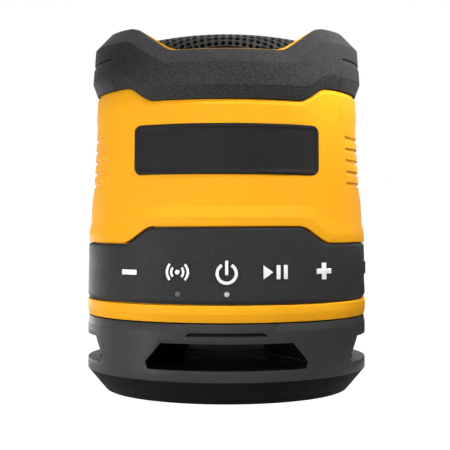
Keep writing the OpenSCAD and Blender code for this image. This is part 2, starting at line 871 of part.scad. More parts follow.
// Front view of what is cut away above the shoulder's drop
module over_shoulder() {
  right = [for (i = [0 : 8]) let (a = hem_a + hem_ramp_a * i / 8)
    [hem_r * sin(a), z_shoulder - hem_drop * (1 - hem(a))]];
  top = z_shoulder + 1;
  polygon(concat([[-hem_r * sin(hem_a + hem_ramp_a), top]], flip(right), right,
    [[hem_r * sin(hem_a + hem_ramp_a), top]]));
}

module grip_cut(a) {
  low_z = grip_panel_low_z + grip_low_ramp;
  top_z = grip_panel_top_z - grip_top_ramp;
  sector(a, grip_panel_a, [
    [body_r(grip_panel_low_z) + 2, grip_panel_low_z],
    [body_r(grip_panel_low_z) + past, grip_panel_low_z],
    [body_r(low_z) - grip_panel_d, low_z], [body_r(top_z) - grip_panel_d, top_z],
    [body_r(grip_panel_top_z) + past, grip_panel_top_z],
    [body_r(grip_panel_low_z) + 2, grip_panel_top_z]
  ]);
  for (i = [0 : grip_count - 1]) {
    z = grip_mid_z + (i - (grip_count - 1) / 2) * grip_pitch;
    floor_r = body_r(z) - grip_panel_d - grip_groove_d;
    sector(a, grip_a, [
      [floor_r, z - grip_groove_h / 2], [body_r(z) + 2, z - grip_groove_h / 2],
      [body_r(z) + 2, z + grip_groove_h / 2], [floor_r, z + grip_groove_h / 2]
    ]);
  }
}

// Shell that follows the body's taper, between two offsets from its face
module body_skin(inside, outside) {
  low = plate_mid_z - plate_h;
  high = plate_mid_z + plate_h;
  revolve([
    [body_r(low) - inside, low], [body_r(low) + outside, low],
    [body_r(high) + outside, high], [body_r(high) - inside, high]
  ]);
}

module plate_outline(grow) {
  translate([0, plate_mid_z]) rounded(plate_w + 2 * grow, plate_h + 2 * grow, plate_corner + grow);
}

plate_sink = 0.6;
strip_rib_t = 1.6;
strip_rib_h = 8;
rail_t = 1.5;
rail_h = 10;

module housing_posts() {
  for (i = [0 : pillar_count - 1]) at(45 + 360 / pillar_count * i)
    translate([0, -base_screw_r, z_base + 0.1]) cylinder(r = boss_r, h = boss_top_z - z_base - 0.1);
  for (a = chassis_azimuths) at(a) translate([0, -chassis_screw_r, z_chassis - chassis_post_l])
    cylinder(r = chassis_post_r, h = chassis_post_l);
  // Ribs that carry the curved switch board
  for (side = [-1, 1]) for (a = [key_inner_a / 2, (key_inner_a + key_outer_a) / 2]) at(side * a)
    translate([-strip_rib_t / 2, -bore_r - 0.5, z_key - strip_rib_h / 2])
      cube([strip_rib_t, bore_r + 0.5 - strip_r - fit_gap, strip_rib_h]);
  // Rails that hold the port's board
  rail_x = (usb_board_w + rail_t) / 2 + fit_gap;
  at(port_a) for (side = [-1, 1])
    translate([side * rail_x - rail_t / 2, -bore_r - 0.5, z_port - rail_h / 2])
      cube([rail_t, bore_r + 0.5 - socket_back_r + board_t, rail_h]);
}

chassis_azimuths = [chassis_post_a, 180 - chassis_post_a, 180 + chassis_post_a, 360 - chassis_post_a];

module main_housing() {
  color(yellow) difference() {
    union() {
      body_profile();
      intersection() {
        housing_posts();
        cylinder(r = sleeve_r - 1, h = far);
      }
    }
    difference() {
      through(front_only = true) under_step(part_gap, part_gap);
      cylinder(r = sleeve_r, h = far);
      cylinder(r = far, h = z_body - 1);
    }
    difference() {
      through() over_shoulder();
      cylinder(r = neck_r, h = far);
    }
    intersection() {
      through() over_dip();
      translate([0, 0, z_neck]) cylinder(r = lip_r + 1, h = far);
    }
    for (a = [90, 270]) grip_cut(a);
    intersection() {
      body_skin(plate_sink + fit_gap, 3);
      through(front_only = true) plate_outline(fit_gap);
    }
    for (i = [-2 : 2]) radial(key_azimuth(i), z_key, bore_r - 1, sleeve_r + 0.5)
      square([flange_w + 2 * window_gap, flange_h + 2 * window_gap], center = true);
    for (a = [0, -key_inner_a]) radial(a, z_pipe, bore_r - 1, sleeve_r + 0.5)
      circle(d = pipe_d + 2 * fit_gap);
    radial(port_a, z_port, bore_r - 1, sleeve_r + 0.5)
      stadium(socket_w + 2 * socket_gap, socket_h + 2 * socket_gap);
    for (i = [0 : pillar_count - 1]) at(45 + 360 / pillar_count * i)
      translate([0, -base_screw_r, 0]) cylinder(d = base_screw_d + bite_gap, h = boss_top_z - 1.2);
    for (a = chassis_azimuths) at(a) translate([0, -chassis_screw_r, z_chassis - 6.5])
      cylinder(d = chassis_screw_d + bite_gap, h = 7);
    for (i = [0 : 3]) at(45 + 90 * i) translate([0, -driver_screw_r, z_flange_top - driver_screw_l - 0.6])
      cylinder(d = driver_screw_d + bite_gap, h = driver_screw_l);
    bumper_screw_places() cylinder(d = bumper_screw_d + bite_gap, h = bumper_screw_l - 1);
  }
}

module nameplate() {
  color(rubber) intersection() {
    body_skin(plate_sink, plate_out);
    through(front_only = true) plate_outline(0);
  }
}

// Bumper: one outline that follows the dip and the drop round the azimuth

bumper_steps = 128;
bumper_screw_d = 2;
bumper_screw_l = 5;
dip_taper = 0.4;
dip_crown = 0.6;
crest_span = 42;
crease_in = 1.8;
crease_share = 0.69;
pad_t = 1.9;
pad_bevel_h = 1.5;
pad_bevel = 0.55;
pad_screw_a = 14;
pad_screw_up = 4.6;
pad_screw_sink = 1.1;
pad_in_r = belt_low_r - pad_t;
z_pad_top = z_hem + pad_h;

function bumper_outline(a) =
  let (side = sin(fold(a)), fall = crest_fall * (90 - fold(a)) / crest_span)
  let (top = z_dip + (dip_h - fall) * wing(crown_r * side), low = z_hem - hem_drop * (1 - hem(a)))
  let (rise = wing(belt_low_r * side - crease_in))
  let (crease_r = mix(belt_low_r - dip_taper, belt_top_r, rise))
  let (crease_z = mix(z_dip - crown_h + dip_crown, z_wing - crown_h - crease_share * fall, rise))
  [
    [neck_r + fit_gap, low], [hem_r, low], [belt_low_r, low + hem_chamfer_h],
    [crease_r, crease_z], [crown_r, top], [lip_r + fit_gap, top],
    [lip_r + fit_gap, z_neck + fit_gap], [neck_r + fit_gap, z_neck + fit_gap]
  ];

module bumper_body() {
  outlines = [for (i = [0 : bumper_steps - 1]) bumper_outline(360 * i / bumper_steps)];
  count = len(outlines[0]);
  points = [for (i = [0 : bumper_steps - 1]) for (p = outlines[i])
    [p[0] * sin(360 * i / bumper_steps), -p[0] * cos(360 * i / bumper_steps), p[1]]];
  function at_ring(i, j) = (i % bumper_steps) * count + j % count;
  polyhedron(points = points, faces = concat(
    [for (i = [0 : bumper_steps - 1]) for (j = [0 : count - 1])
      [at_ring(i, j), at_ring(i, j + 1), at_ring(i + 1, j + 1)]],
    [for (i = [0 : bumper_steps - 1]) for (j = [0 : count - 1])
      [at_ring(i, j), at_ring(i + 1, j + 1), at_ring(i + 1, j)]]
  ));
}

// Four screws under the pads, each along +Z into the neck from its head's seat
module bumper_screw_places() {
  for (a = [90, 270]) for (side = [-1, 1]) at(a + side * pad_screw_a)
    translate([0, pad_screw_sink - pad_in_r, z_hem + pad_screw_up]) rotate([-90, 0, 0]) children();
}

module top_bumper() {
  color(rubber) difference() {
    bumper_body();
    for (a = [90, 270]) sector(a, pad_a, [
      [pad_in_r, z_hem - 1], [belt_low_r + 2, z_hem - 1],
      [belt_low_r + 2, z_pad_top], [pad_in_r, z_pad_top]
    ]);
    bumper_screw_places() {
      cylinder(d = bumper_screw_d + pass_gap, h = bumper_screw_l);
      translate([0, 0, -3]) cylinder(d = bumper_screw_d + 2.2, h = 3);
    }
  }
}

function belt_r(z) =
  mix(belt_low_r, belt_top_r, (z - z_hem - hem_chamfer_h) / (bumper_h - hem_chamfer_h - crown_h));

module bumper_pads() {
  top = z_pad_top - fit_gap;
  color(rubber) for (a = [90, 270]) sector(a, pad_a - 0.25, [
    [pad_in_r + fit_gap, z_hem], [hem_r + pad_out, z_hem],
    [belt_low_r + pad_out, z_hem + hem_chamfer_h],
    [belt_r(top - pad_bevel_h) + pad_out, top - pad_bevel_h], [belt_r(top) - pad_bevel, top],
    [pad_in_r + fit_gap, top]
  ]);
}

module bumper_screws() {
  color(steel) bumper_screw_places()
    screw(bumper_screw_d, bumper_screw_l - 1.2, bumper_screw_d + 1.8, 0.9);
}

// Grille

grille_r = neck_in_r - grille_gap;
z_grille = z_flange_top + 0.2;
z_dome = z_grille + grille_skirt;

grille_field_r = grille_r - dome_edge;
grille_pitch = 2 * grille_field_r / (grille_across - 1);
shoulder_a = 76;

// Outline of the dome from its skirt to its apex: a round shoulder and a flat crown
function dome(edge, rise) =
  let (start = grille_field_r + edge * cos(shoulder_a), sag = rise - edge * sin(shoulder_a))
  concat(arc(grille_field_r, z_dome, edge, edge, 0, shoulder_a, 6),
    [for (i = [1 : 5]) let (t = 1 - i / 5) [start * t, z_dome + rise - sag * t * t]]);

module speaker_grille() {
  inside = dome(dome_edge - grille_t, dome_h - grille_t);
  last = len(inside) - 1;
  half = (grille_across - 1) / 2;
  hole = grille_pitch - grille_bar;
  color(plastic) difference() {
    revolve(concat([[grille_r - grille_t, z_grille], [grille_r, z_grille]], dome(dome_edge, dome_h),
      [for (i = [0 : last]) inside[last - i]]), 72);
    for (i = [-half : half]) for (j = [-half : half]) if (norm([i, j]) < half + 0.1)
      translate([grille_pitch * i - hole / 2, grille_pitch * j - hole / 2, z_dome])
        cube([hole, hole, dome_h + 1]);
  }
}

// Driver

driver_screw_d = 2;
driver_screw_l = 4;
driver_screw_in = 1.9;
driver_screw_r = driver_r - driver_screw_in;
basket_r = driver_cut_r - 0.4;
roll_out_r = driver_cut_r + 0.2;
roll_in_r = roll_out_r - roll_w;
cone_r = roll_in_r - 0.1;
coil_r = coil_d / 2;
magnet_r = magnet_d / 2;
top_plate_t = 3;
top_plate_in = 1.4;
top_plate_r = magnet_r - top_plate_in;
back_plate_t = 3;
basket_drop = 11.6;
z_top_plate = z_flange_top - basket_drop - top_plate_t;
z_magnet = z_top_plate - magnet_t;
z_back_plate = z_magnet - back_plate_t;
air_gap = 0.3;
former_t = 0.25;
winding_t = 0.3;
pole_r = coil_r - former_t - air_gap;
plate_hole_r = coil_r + winding_t + air_gap;
basket_low_r = top_plate_r - 1;
terminal_w = 8;
terminal_t = 3.2;
terminal_h = 2.8;
terminal_x = -6;
basket_t = 1.2;
basket_rim_h = 3.4;
basket_window_w = 18;
cone_drop = 9;
cone_t = 0.7;
cone_rim_drop = 0.3;
cone_low_z = z_flange_top - cone_drop;
roll_t = 0.7;
roll_spare = 1.4;
winding_over = cone_travel + 1.3;
former_under = winding_over + 1.5;
cap_lap = 2.4;
cap_h = 3.4;
cap_t = 0.5;
spider_up = 1.95;
spider_wave = 0.25;
spider_t = 0.3;
spider_gap = 0.4;

module driver_frame() {
  z_low = z_top_plate + top_plate_t;
  window_z = z_low + basket_t + 0.6;
  basket_hole_r = coil_r + 5;
  color(steel) difference() {
    revolve([
      [basket_hole_r, z_low], [basket_low_r, z_low], [basket_r, z_flange - basket_rim_h],
      [basket_r, z_flange], [driver_r, z_flange], [driver_r, z_flange_top],
      [roll_out_r + 0.1, z_flange_top], [roll_out_r + 0.1, z_flange_top - 0.8],
      [basket_r - basket_t, z_flange_top - 2.4], [basket_r - basket_t, z_flange - basket_rim_h + 0.4],
      [basket_low_r - 0.8, z_low + basket_t], [basket_hole_r, z_low + basket_t]
    ]);
    for (i = [0 : 3]) at(90 * i) translate([0, 0, window_z]) intersection() {
      ring(basket_hole_r + 1, far, 0, z_flange - basket_rim_h - 0.6 - window_z);
      rotate([90, 0, 0]) linear_extrude(far)
        translate([-basket_window_w / 2, 0]) square([basket_window_w, far]);
    }
    for (i = [0 : 3]) at(45 + 90 * i) translate([0, -driver_screw_r, z_flange - 1])
      cylinder(d = driver_screw_d + pass_gap, h = 4);
  }
}

module driver_gasket() {
  color(rubber) difference() {
    ring(driver_cut_r + 0.2, driver_r, z_ledge_top, gasket_t);
    for (i = [0 : 3]) at(45 + 90 * i) translate([0, -driver_screw_r, z_ledge_top - 1])
      cylinder(d = driver_screw_d + pass_gap, h = 4);
  }
}

module driver_screws() {
  color(steel) for (i = [0 : 3]) at(45 + 90 * i)
    translate([0, -driver_screw_r, z_flange_top]) mirror([0, 0, 1])
      screw(driver_screw_d, driver_screw_l, driver_screw_d + 1, 0.8);
}

module driver_top_plate() {
  color(steel) ring(plate_hole_r, top_plate_r, z_top_plate, top_plate_t);
}

module driver_magnet() {
  color([0.25, 0.25, 0.27]) ring(plate_hole_r + 0.8, magnet_r, z_magnet, magnet_t);
}

module driver_back_plate() {
  color(steel) {
    translate([0, 0, z_back_plate]) cylinder(r = top_plate_r, h = back_plate_t);
    translate([0, 0, z_back_plate]) cylinder(r = pole_r, h = back_plate_t + magnet_t + top_plate_t);
  }
}

module driver_cone() {
  rim_z = z_flange_top - cone_rim_drop;
  color([0.16, 0.16, 0.17]) revolve([
    [coil_r + 0.05, cone_low_z], [coil_r + 0.65, cone_low_z], [cone_r, rim_z - 0.6],
    [cone_r, rim_z], [cone_r - cone_t, rim_z], [coil_r + 0.05, cone_low_z + cone_t]
  ]);
}

module dust_cap() {
  cap_r = coil_r + cap_lap;
  rise = cap_lap / (cone_r - cone_t - coil_r);
  cap_z = mix(cone_low_z + cone_t, z_flange_top - cone_rim_drop, rise) + 0.05;
  color([0.2, 0.2, 0.21]) revolve(concat(
    arc(0, cap_z, cap_r, cap_h, 0, 90, 8), arc(0, cap_z, cap_r - cap_t, cap_h - cap_t, 90, 0, 8)
  ));
}

module voice_coil() {
  former_z = z_top_plate - former_under;
  winding_z = z_top_plate - winding_over;
  color(brass) {
    ring(coil_r - former_t, coil_r, former_z, cone_low_z + 0.6 - former_z);
    ring(coil_r - eps, coil_r + winding_t, winding_z, top_plate_t + 2 * winding_over);
  }
}

module driver_surround() {
  mid = (roll_in_r + roll_out_r) / 2;
  half = (roll_out_r - roll_in_r) / 2;
  z = z_flange_top - 0.75;
  roll_h = cone_travel + roll_spare;
  color(rubber) revolve(concat(
    arc(mid, z, half, roll_h, 180, 0, 12), arc(mid, z, half - roll_t, roll_h - roll_t, 0, 180, 12)
  ));
}

module driver_spider() {
  count = 18;
  z = z_top_plate + top_plate_t + spider_up;
  r0 = coil_r + winding_t + spider_gap;
  r1 = basket_low_r - 0.2;
  function wave(i, z) = [mix(r0, r1, i / count), z + spider_wave * cos(360 * 3 * i / count)];
  color([0.72, 0.62, 0.38]) revolve(concat(
    [for (i = [0 : count]) wave(i, z)], [for (i = [count : -1 : 0]) wave(i, z - spider_t)]
  ));
}

module driver_terminals() {
  color(brass) translate([terminal_x - terminal_w / 2, top_plate_r + 0.3, z_top_plate + 0.9])
    cube([terminal_w, terminal_t, terminal_h]);
}

// Passive radiator

radiator_r = radiator_hole_r - surround_w;
radiator_screw_d = 1.8;
radiator_screw_r = (radiator_hole_r + 1 + radiator_out_r) / 2;
radiator_gasket_t = 0.6;
radiator_frame_t = 2.4;
radiator_screw_bite = 3;
radiator_edge_gap = 0.15;
radiator_bevel_w = 2;
radiator_bevel_h = 0.5;
radiator_plate_t = 1.5;
weight_d = 19.4;
weight_t = 2.2;
z_radiator = z_base + radiator_gasket_t;
z_radiator_plate = z_radiator + 0.2;

module radiator_gasket() {
  color(rubber) difference() {
    ring(radiator_open_r + 0.2, radiator_out_r, z_base, radiator_gasket_t);
    for (i = [0 : 3]) at(90 * i) translate([0, -radiator_screw_r, 0])
      cylinder(d = radiator_screw_d + pass_gap, h = far);
  }
}

module radiator_frame() {
  color(plastic) difference() {
    ring(radiator_hole_r, radiator_out_r, z_radiator, radiator_frame_t);
    for (i = [0 : 3]) at(90 * i) translate([0, -radiator_screw_r, 0])
      cylinder(d = radiator_screw_d + pass_gap, h = far);
  }
}

module radiator_screws() {
  l = radiator_frame_t + radiator_gasket_t + radiator_screw_bite;
  color(steel) for (i = [0 : 3]) at(90 * i)
    translate([0, -radiator_screw_r, z_radiator + radiator_frame_t]) mirror([0, 0, 1])
      screw(radiator_screw_d, l, radiator_screw_d + 1.6, 1);
}

module radiator_plate() {
  r = radiator_r - radiator_edge_gap;
  top = z_radiator_plate + radiator_plate_t;
  color([0.12, 0.12, 0.13]) revolve([
    [0, z_radiator_plate], [r - radiator_bevel_w, z_radiator_plate],
    [r, z_radiator_plate + radiator_bevel_h], [r, top], [0, top]
  ]);
}

module radiator_weight() {
  color(steel) translate([0, 0, z_radiator_plate + radiator_plate_t]) cylinder(d = weight_d, h = weight_t);
}

module radiator_surround() {
  mid = radiator_r + surround_w / 2;
  half = surround_w / 2 - 0.1;
  z = z_radiator_plate + radiator_plate_t - 0.1;
  roll_h = radiator_travel + 1.1;
  color(rubber) revolve(concat(
    arc(mid, z, half, roll_h, 180, 360, 12), arc(mid, z, half - roll_t, roll_h - roll_t, 360, 180, 12)
  ));
}

// Chassis, boards and battery

board_standoff = 2.2;
board_boss_r = 2.4;
board_screw_d = 2;
board_screw_in = 4;
cell_half_gap = 0.6;
cell_lift = 1.4;
cell_tip_h = 0.5;
cell_tip_d = 7.3;
cradle_t = 4;
cradle_in = 9;
cradle_wall = 1;
tab_t = 0.3;
tab_w = 6;
battery_board_l = 50;
battery_board_w = 14;
battery_board_t = 1.2;
wire_slot_w = 26;
board_azimuths = [45, 135, 225, 315];
connector_w = 8;
connector_l = 3;
connector_h = 3.2;
connector_xs = [-7, 7];
connector_in = 4.5;
capacitor_d = 6;
capacitor_h = 3.4;
chassis_r = bore_r - part_gap;
z_chassis_top = z_chassis + chassis_t;
z_board_top = z_chassis - board_standoff;
z_board = z_board_top - board_t;
board_r = chassis_screw_r - chassis_post_r - board_gap;
board_screw_r = board_r - board_screw_in;
connector_y = board_r - connector_in + connector_l / 2;
wire_slot_y = connector_y - 2.5;
cell_y = cell_d / 2 + cell_half_gap;
cell_side_y = cell_y + cell_d / 2;
cell_l = 2 * (sqrt(bore_r * bore_r - cell_side_y * cell_side_y) - cell_end_gap);
z_cell = z_chassis_top + cell_d / 2 + cell_lift;
cradle_xs = [-1, 0, 1] * (cell_l / 2 - cradle_in);

module inner_chassis() {
  cradle_w = 2 * cell_y + cell_d + 2 * cradle_wall;
  color(plastic) difference() {
    union() {
      translate([0, 0, z_chassis]) cylinder(r = chassis_r, h = chassis_t);
      for (x = cradle_xs) translate([x - cradle_t / 2, -cradle_w / 2, z_chassis_top - 0.5])
        cube([cradle_t, cradle_w, cell_d / 2 - 0.4]);
      for (a = board_azimuths) at(a) translate([0, -board_screw_r, z_board_top])
        cylinder(r = board_boss_r, h = board_standoff + 0.5);
    }
    for (side = [-1, 1]) translate([-far / 2, side * cell_y, z_cell]) rotate([0, 90, 0])
      cylinder(d = cell_d + 2 * fit_gap, h = far);
    translate([-wire_slot_w / 2, wire_slot_y, z_chassis - 1]) cube([wire_slot_w, far, chassis_t + 2]);
    for (a = chassis_azimuths) at(a) translate([0, -chassis_screw_r, z_chassis - 1])
      cylinder(d = chassis_screw_d + pass_gap, h = 6);
    for (a = board_azimuths) at(a) translate([0, -board_screw_r, z_board_top - 1])
      cylinder(d = board_screw_d + bite_gap, h = 4);
  }
}

module chassis_screws() {
  color(steel) for (a = chassis_azimuths) at(a) translate([0, -chassis_screw_r, z_chassis_top])
    mirror([0, 0, 1]) screw(chassis_screw_d, chassis_t + 5.5, chassis_screw_d + 2, 1.4);
}

module main_board() {
  color(green) difference() {
    translate([0, 0, z_board]) cylinder(r = board_r, h = board_t);
    for (a = board_azimuths) at(a) translate([0, -board_screw_r, z_board - 1])
      cylinder(d = board_screw_d + pass_gap, h = 4);
  }
}

module board_screws() {
  color(steel) for (a = board_azimuths) at(a) translate([0, -board_screw_r, z_board])
    screw(board_screw_d, board_t + 2.6, board_screw_d + 1.8, 1.1);
}

// Chips and coils under the board, connectors above its rear edge
module board_components() {
  // Each chip: its middle in shares of the board's radius, its two sides and its height
  chips = [
    [-0.44, -0.13, 9, 9, 1.2], [0.25, -0.38, 7, 7, 1], [0.38, 0.25, 6, 10, 1.4],
    [-0.25, 0.44, 5, 5, 1], [-0.06, -0.6, 12, 5, 0.9]
  ];
  capacitors = [[-0.63, 0.25], [0.06, 0], [0.63, -0.19]];
  color(plastic) {
    for (c = chips) translate([c[0] * board_r - c[2] / 2, c[1] * board_r - c[3] / 2, z_board - c[4]])
      cube([c[2], c[3], c[4]]);
    for (p = capacitors) translate([p[0] * board_r, p[1] * board_r, z_board - capacitor_h])
      cylinder(d = capacitor_d, h = capacitor_h);
    for (x = connector_xs) translate([x - connector_w / 2, connector_y - connector_l / 2, z_board_top])
      cube([connector_w, connector_l, connector_h]);
  }
}

module battery_cells() {
  color(blue) for (side = [-1, 1]) translate([-cell_l / 2, side * cell_y, z_cell]) rotate([0, 90, 0]) {
    cylinder(d = cell_d, h = cell_l);
    translate([0, 0, cell_l - eps]) cylinder(d = cell_tip_d, h = cell_tip_h);
  }
}

module battery_tabs() {
  color(steel) {
    for (x = [cell_l / 2 + cell_tip_h + 0.05, -cell_l / 2 - tab_t - 0.05])
      translate([x, -cell_y - tab_w / 2, z_cell - tab_w / 2]) cube([tab_t, 2 * cell_y + tab_w, tab_w]);
  }
}

module battery_board() {
  color(green) translate([-battery_board_l / 2, -battery_board_w / 2, z_cell + cell_d / 2 + 0.1])
    cube([battery_board_l, battery_board_w, battery_board_t]);
}

// Wires: round tubes swept along their points, whose heights count from the main board's top

terminal_y = top_plate_r + 0.3 + terminal_t;
terminal_up = z_top_plate + 0.9 + terminal_h / 2 - z_board_top;
speaker_route = [
  [-4.8, connector_y, 3.4], [-4.8, connector_y + 0.5, 6.8], [-4.8, bore_r - 9.5, 11.3],
  [-4.8, bore_r - 6.5, 15.8], [-4.8, bore_r - 4.5, 20.8], [-4.8, bore_r - 4, 25.8],
  [-4.8, bore_r - 4.4, terminal_up - 12.8], [-4.8, bore_r - 5.8, terminal_up - 7.8],
  [-4.8, bore_r - 8.6, terminal_up - 3.6], [-4.8, terminal_y + 5.1, terminal_up - 0.8],
  [-4.8, terminal_y + 0.4, terminal_up]
];
battery_x = battery_board_l / 2 - 0.7;
battery_route = [
  [battery_x, 4, 26.2], [battery_x + 0.2, 8, 26.6], [battery_x + 0.3, 12, 26.4],
  [battery_x - 0.1, 16.5, 25], [battery_x - 1.5, cell_side_y + 1.7, 22.3],
  [battery_x - 3.8, cell_side_y + 4, 18.3], [16.8, connector_y - 1.9, 13.3],
  [12, connector_y - 0.3, 8.3], [8.6, connector_y + 0.1, 3.4]
];
wire_d = 1.6;
wire_gap = 2.4;
ribbon_w = 8;
ribbon_t = 0.3;
ribbon_lap = 5;

module tube(route, d) {
  sides = 8;
  n = len(route);
  function dir(i) = let (v = route[min(n - 1, i + 1)] - route[max(0, i - 1)]) v / norm(v);
  rings = [for (i = [0 : n - 1]) let (t = dir(i), u = [1, 0, 0] - t[0] * t, e = u / norm(u), f = cross(t, e))
    for (k = [0 : sides - 1]) route[i] + d / 2 * (e * cos(360 * k / sides) + f * sin(360 * k / sides))];
  polyhedron(points = rings, faces = concat(
    [for (k = [1 : sides - 2]) [0, k, k + 1]],
    [for (k = [1 : sides - 2]) [(n - 1) * sides, (n - 1) * sides + k + 1, (n - 1) * sides + k]],
    [for (i = [0 : n - 2]) for (k = [0 : sides - 1]) let (m = (k + 1) % sides)
      [i * sides + k, (i + 1) * sides + m, i * sides + m]],
    [for (i = [0 : n - 2]) for (k = [0 : sides - 1]) let (m = (k + 1) % sides)
      [i * sides + k, (i + 1) * sides + k, (i + 1) * sides + m]]
  ));
}

module speaker_wires() {
  color([0.75, 0.1, 0.1]) for (x = [0, -wire_gap]) translate([x, 0, z_board_top]) tube(speaker_route, wire_d);
}

module battery_wires() {
  color([0.75, 0.1, 0.1]) for (x = [0, -wire_gap]) translate([x, 0, z_board_top]) tube(battery_route, wire_d);
}

// Flat flex from the curved switch board to the underside of the main board
module key_ribbon() {
  t = ribbon_t;
  r_out = strip_r - strip_t - 0.2;
  r_in = board_r - ribbon_lap;
  low = z_board - 0.1 - t;
  end_z = z_key - strip_h / 2 + 1.2;
  color([0.8, 0.5, 0.15]) at(-key_inner_a / 2) translate([-ribbon_w / 2, 0, 0])
    rotate([90, 0, 90]) linear_extrude(ribbon_w) polygon([
      [-r_out, end_z], [-r_out, low + t], [-r_in, low + t],
      [-r_in, low], [-r_out + t, low], [-r_out + t, end_z]
    ]);
}

top_bumper();
bumper_pads();
bumper_screws();
speaker_grille();
main_housing();
nameplate();
control_band();
key_volume_down();
key_pair();
key_power();
key_play();
key_volume_up();
pair_light_pipe();
power_light_pipe();
port_cover();
port_cover_pin();
usb_socket();
usb_board();
lower_trim_ring();
base();
base_belt();
base_seal();
base_screws();
bottom_cover();
bottom_cover_screws();
foot_ring();
driver_frame();
driver_gasket();
driver_screws();
driver_top_plate();
driver_magnet();
driver_back_plate();
driver_cone();
dust_cap();
voice_coil();
driver_surround();
driver_spider();
driver_terminals();
radiator_frame();
radiator_gasket();
radiator_screws();
radiator_plate();
radiator_weight();
radiator_surround();
inner_chassis();
chassis_screws();
main_board();
board_components();
board_screws();
battery_cells();
battery_tabs();
battery_board();
switch_board();
tact_switches();
indicator_leds();
speaker_wires();
battery_wires();
key_ribbon();
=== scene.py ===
import json
from math import asin, atan2, copysign, cos, degrees, hypot, pi, radians, sin, sqrt, tan

import bmesh
import bpy
from mathutils import Matrix, Vector


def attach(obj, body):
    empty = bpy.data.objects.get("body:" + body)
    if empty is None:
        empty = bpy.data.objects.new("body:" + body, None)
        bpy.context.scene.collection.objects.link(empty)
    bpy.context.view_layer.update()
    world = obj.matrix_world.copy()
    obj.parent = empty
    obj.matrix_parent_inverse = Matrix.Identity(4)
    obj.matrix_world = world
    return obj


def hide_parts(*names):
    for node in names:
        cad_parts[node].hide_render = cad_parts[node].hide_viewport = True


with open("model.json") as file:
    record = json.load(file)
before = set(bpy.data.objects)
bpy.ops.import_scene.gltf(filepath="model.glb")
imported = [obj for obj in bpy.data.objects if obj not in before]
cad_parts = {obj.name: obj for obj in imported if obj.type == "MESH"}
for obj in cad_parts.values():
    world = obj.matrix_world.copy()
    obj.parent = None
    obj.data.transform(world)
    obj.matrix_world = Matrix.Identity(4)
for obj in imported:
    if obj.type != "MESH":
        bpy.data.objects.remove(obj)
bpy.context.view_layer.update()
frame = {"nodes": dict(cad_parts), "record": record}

scene = bpy.context.scene
scene.view_settings.view_transform = "Standard"
mm = 0.001
body = "speaker_body"
print("speaker: frame loaded with", len(frame["nodes"]), "nodes")

# Levels and radii that several pieces share, in mm; azimuths count from the front, towards +X
speaker = {
    "baseR": 46.1, "footTop": 2.1, "footR": 40.0, "edgeZ": 7.4, "ventZ": 10.8, "ceilingZ": 18.8, "baseZ": 24.6,
    "ringZ": 24.9, "ringTop": 30.1, "bandZ": 30.4, "bandTop": 48.2, "bandTaper": 0.3, "bandInR": 43.7,
    "stepH": 5.1, "stepIn": 21.8, "stepOut": 31.9, "bodyZ": 48.5, "skirtR": 45.85, "bodyR": 45.1,
    "facetZ": 51.2, "facetTop": 54.5, "shoulderZ": 96.1, "hemR": 42.8, "hemDrop": 4.5, "hemStart": 31.5,
    "hemRamp": 15.0, "dipZ": 107.25, "wingZ": 116.45, "crestFall": 1.0, "dipX": 18.0, "dipRun": 11.0,
    "dipRound": 0.22, "crestRound": 0.1, "crownR": 38.7, "keyZ": 40.0, "pipeZ": 33.5, "boreR": 40.55,
    "sleeveR": 43.55, "portA": 90.0,
}
keyAzimuths = {"key_volume_down": -39.8, "key_pair": -18.5, "key_power": 0.0, "key_play": 18.5, "key_volume_up": 39.8}
pipeAzimuths = (0.0, -18.5)


def mix(a, b, t):
    return a + (b - a) * t


def clamp(t):
    return min(1.0, max(0.0, t))


def ease(t):
    u = clamp(t)
    return u * u * (3 - 2 * u)


def camelName(words):
    first, *rest = words.split("_")
    return first + "".join(word.capitalize() for word in rest)


def foldAngle(a):  # azimuth folded to 0 at front and back, 90 at the sides
    b = abs(a) % 180
    return 180 - b if b > 90 else b


def polar(r, a, z):
    t = radians(a)
    return (r * sin(t), -r * cos(t), z)


def allRound(step):
    return [step * i for i in range(int(360 / step))]


def circle(r, steps=24):
    return [(r * cos(2 * pi * i / steps), r * sin(2 * pi * i / steps)) for i in range(steps)]


def wingRise(x):  # share of the dip's slope climbed at distance x from the middle
    t, low, high = (x - speaker["dipX"]) / speaker["dipRun"], speaker["dipRound"], speaker["crestRound"]
    if t < low:
        return max(0.0, t + low) ** 2 / (4 * low)
    return t if t < 1 - high else 1 - max(0.0, 1 + high - t) ** 2 / (4 * high)


def hemRise(a):
    return ease((foldAngle(a) - speaker["hemStart"]) / speaker["hemRamp"])


def stepRise(a, r, shift=0.0):  # how far the control band's step lifts an edge at the front
    if cos(radians(a)) <= 0:
        return 0.0
    x = abs(r * sin(radians(a))) - shift
    return speaker["stepH"] * (1 - ease((x - speaker["stepIn"]) / (speaker["stepOut"] - speaker["stepIn"])))


def bodyRadius(z):
    t = (z - speaker["facetTop"]) / (speaker["shoulderZ"] - speaker["facetTop"])
    return mix(speaker["bodyR"], speaker["hemR"], t)


def bandRadius(z):
    return speaker["baseR"] - speaker["bandTaper"] * (z - speaker["bandZ"]) / (speaker["bandTop"] - speaker["bandZ"])


def roundIn(d, r):  # how far a rounded edge falls back at distance d from the edge
    return r - sqrt(max(0.0, r * r - (r - d) ** 2)) if d < r else 0.0


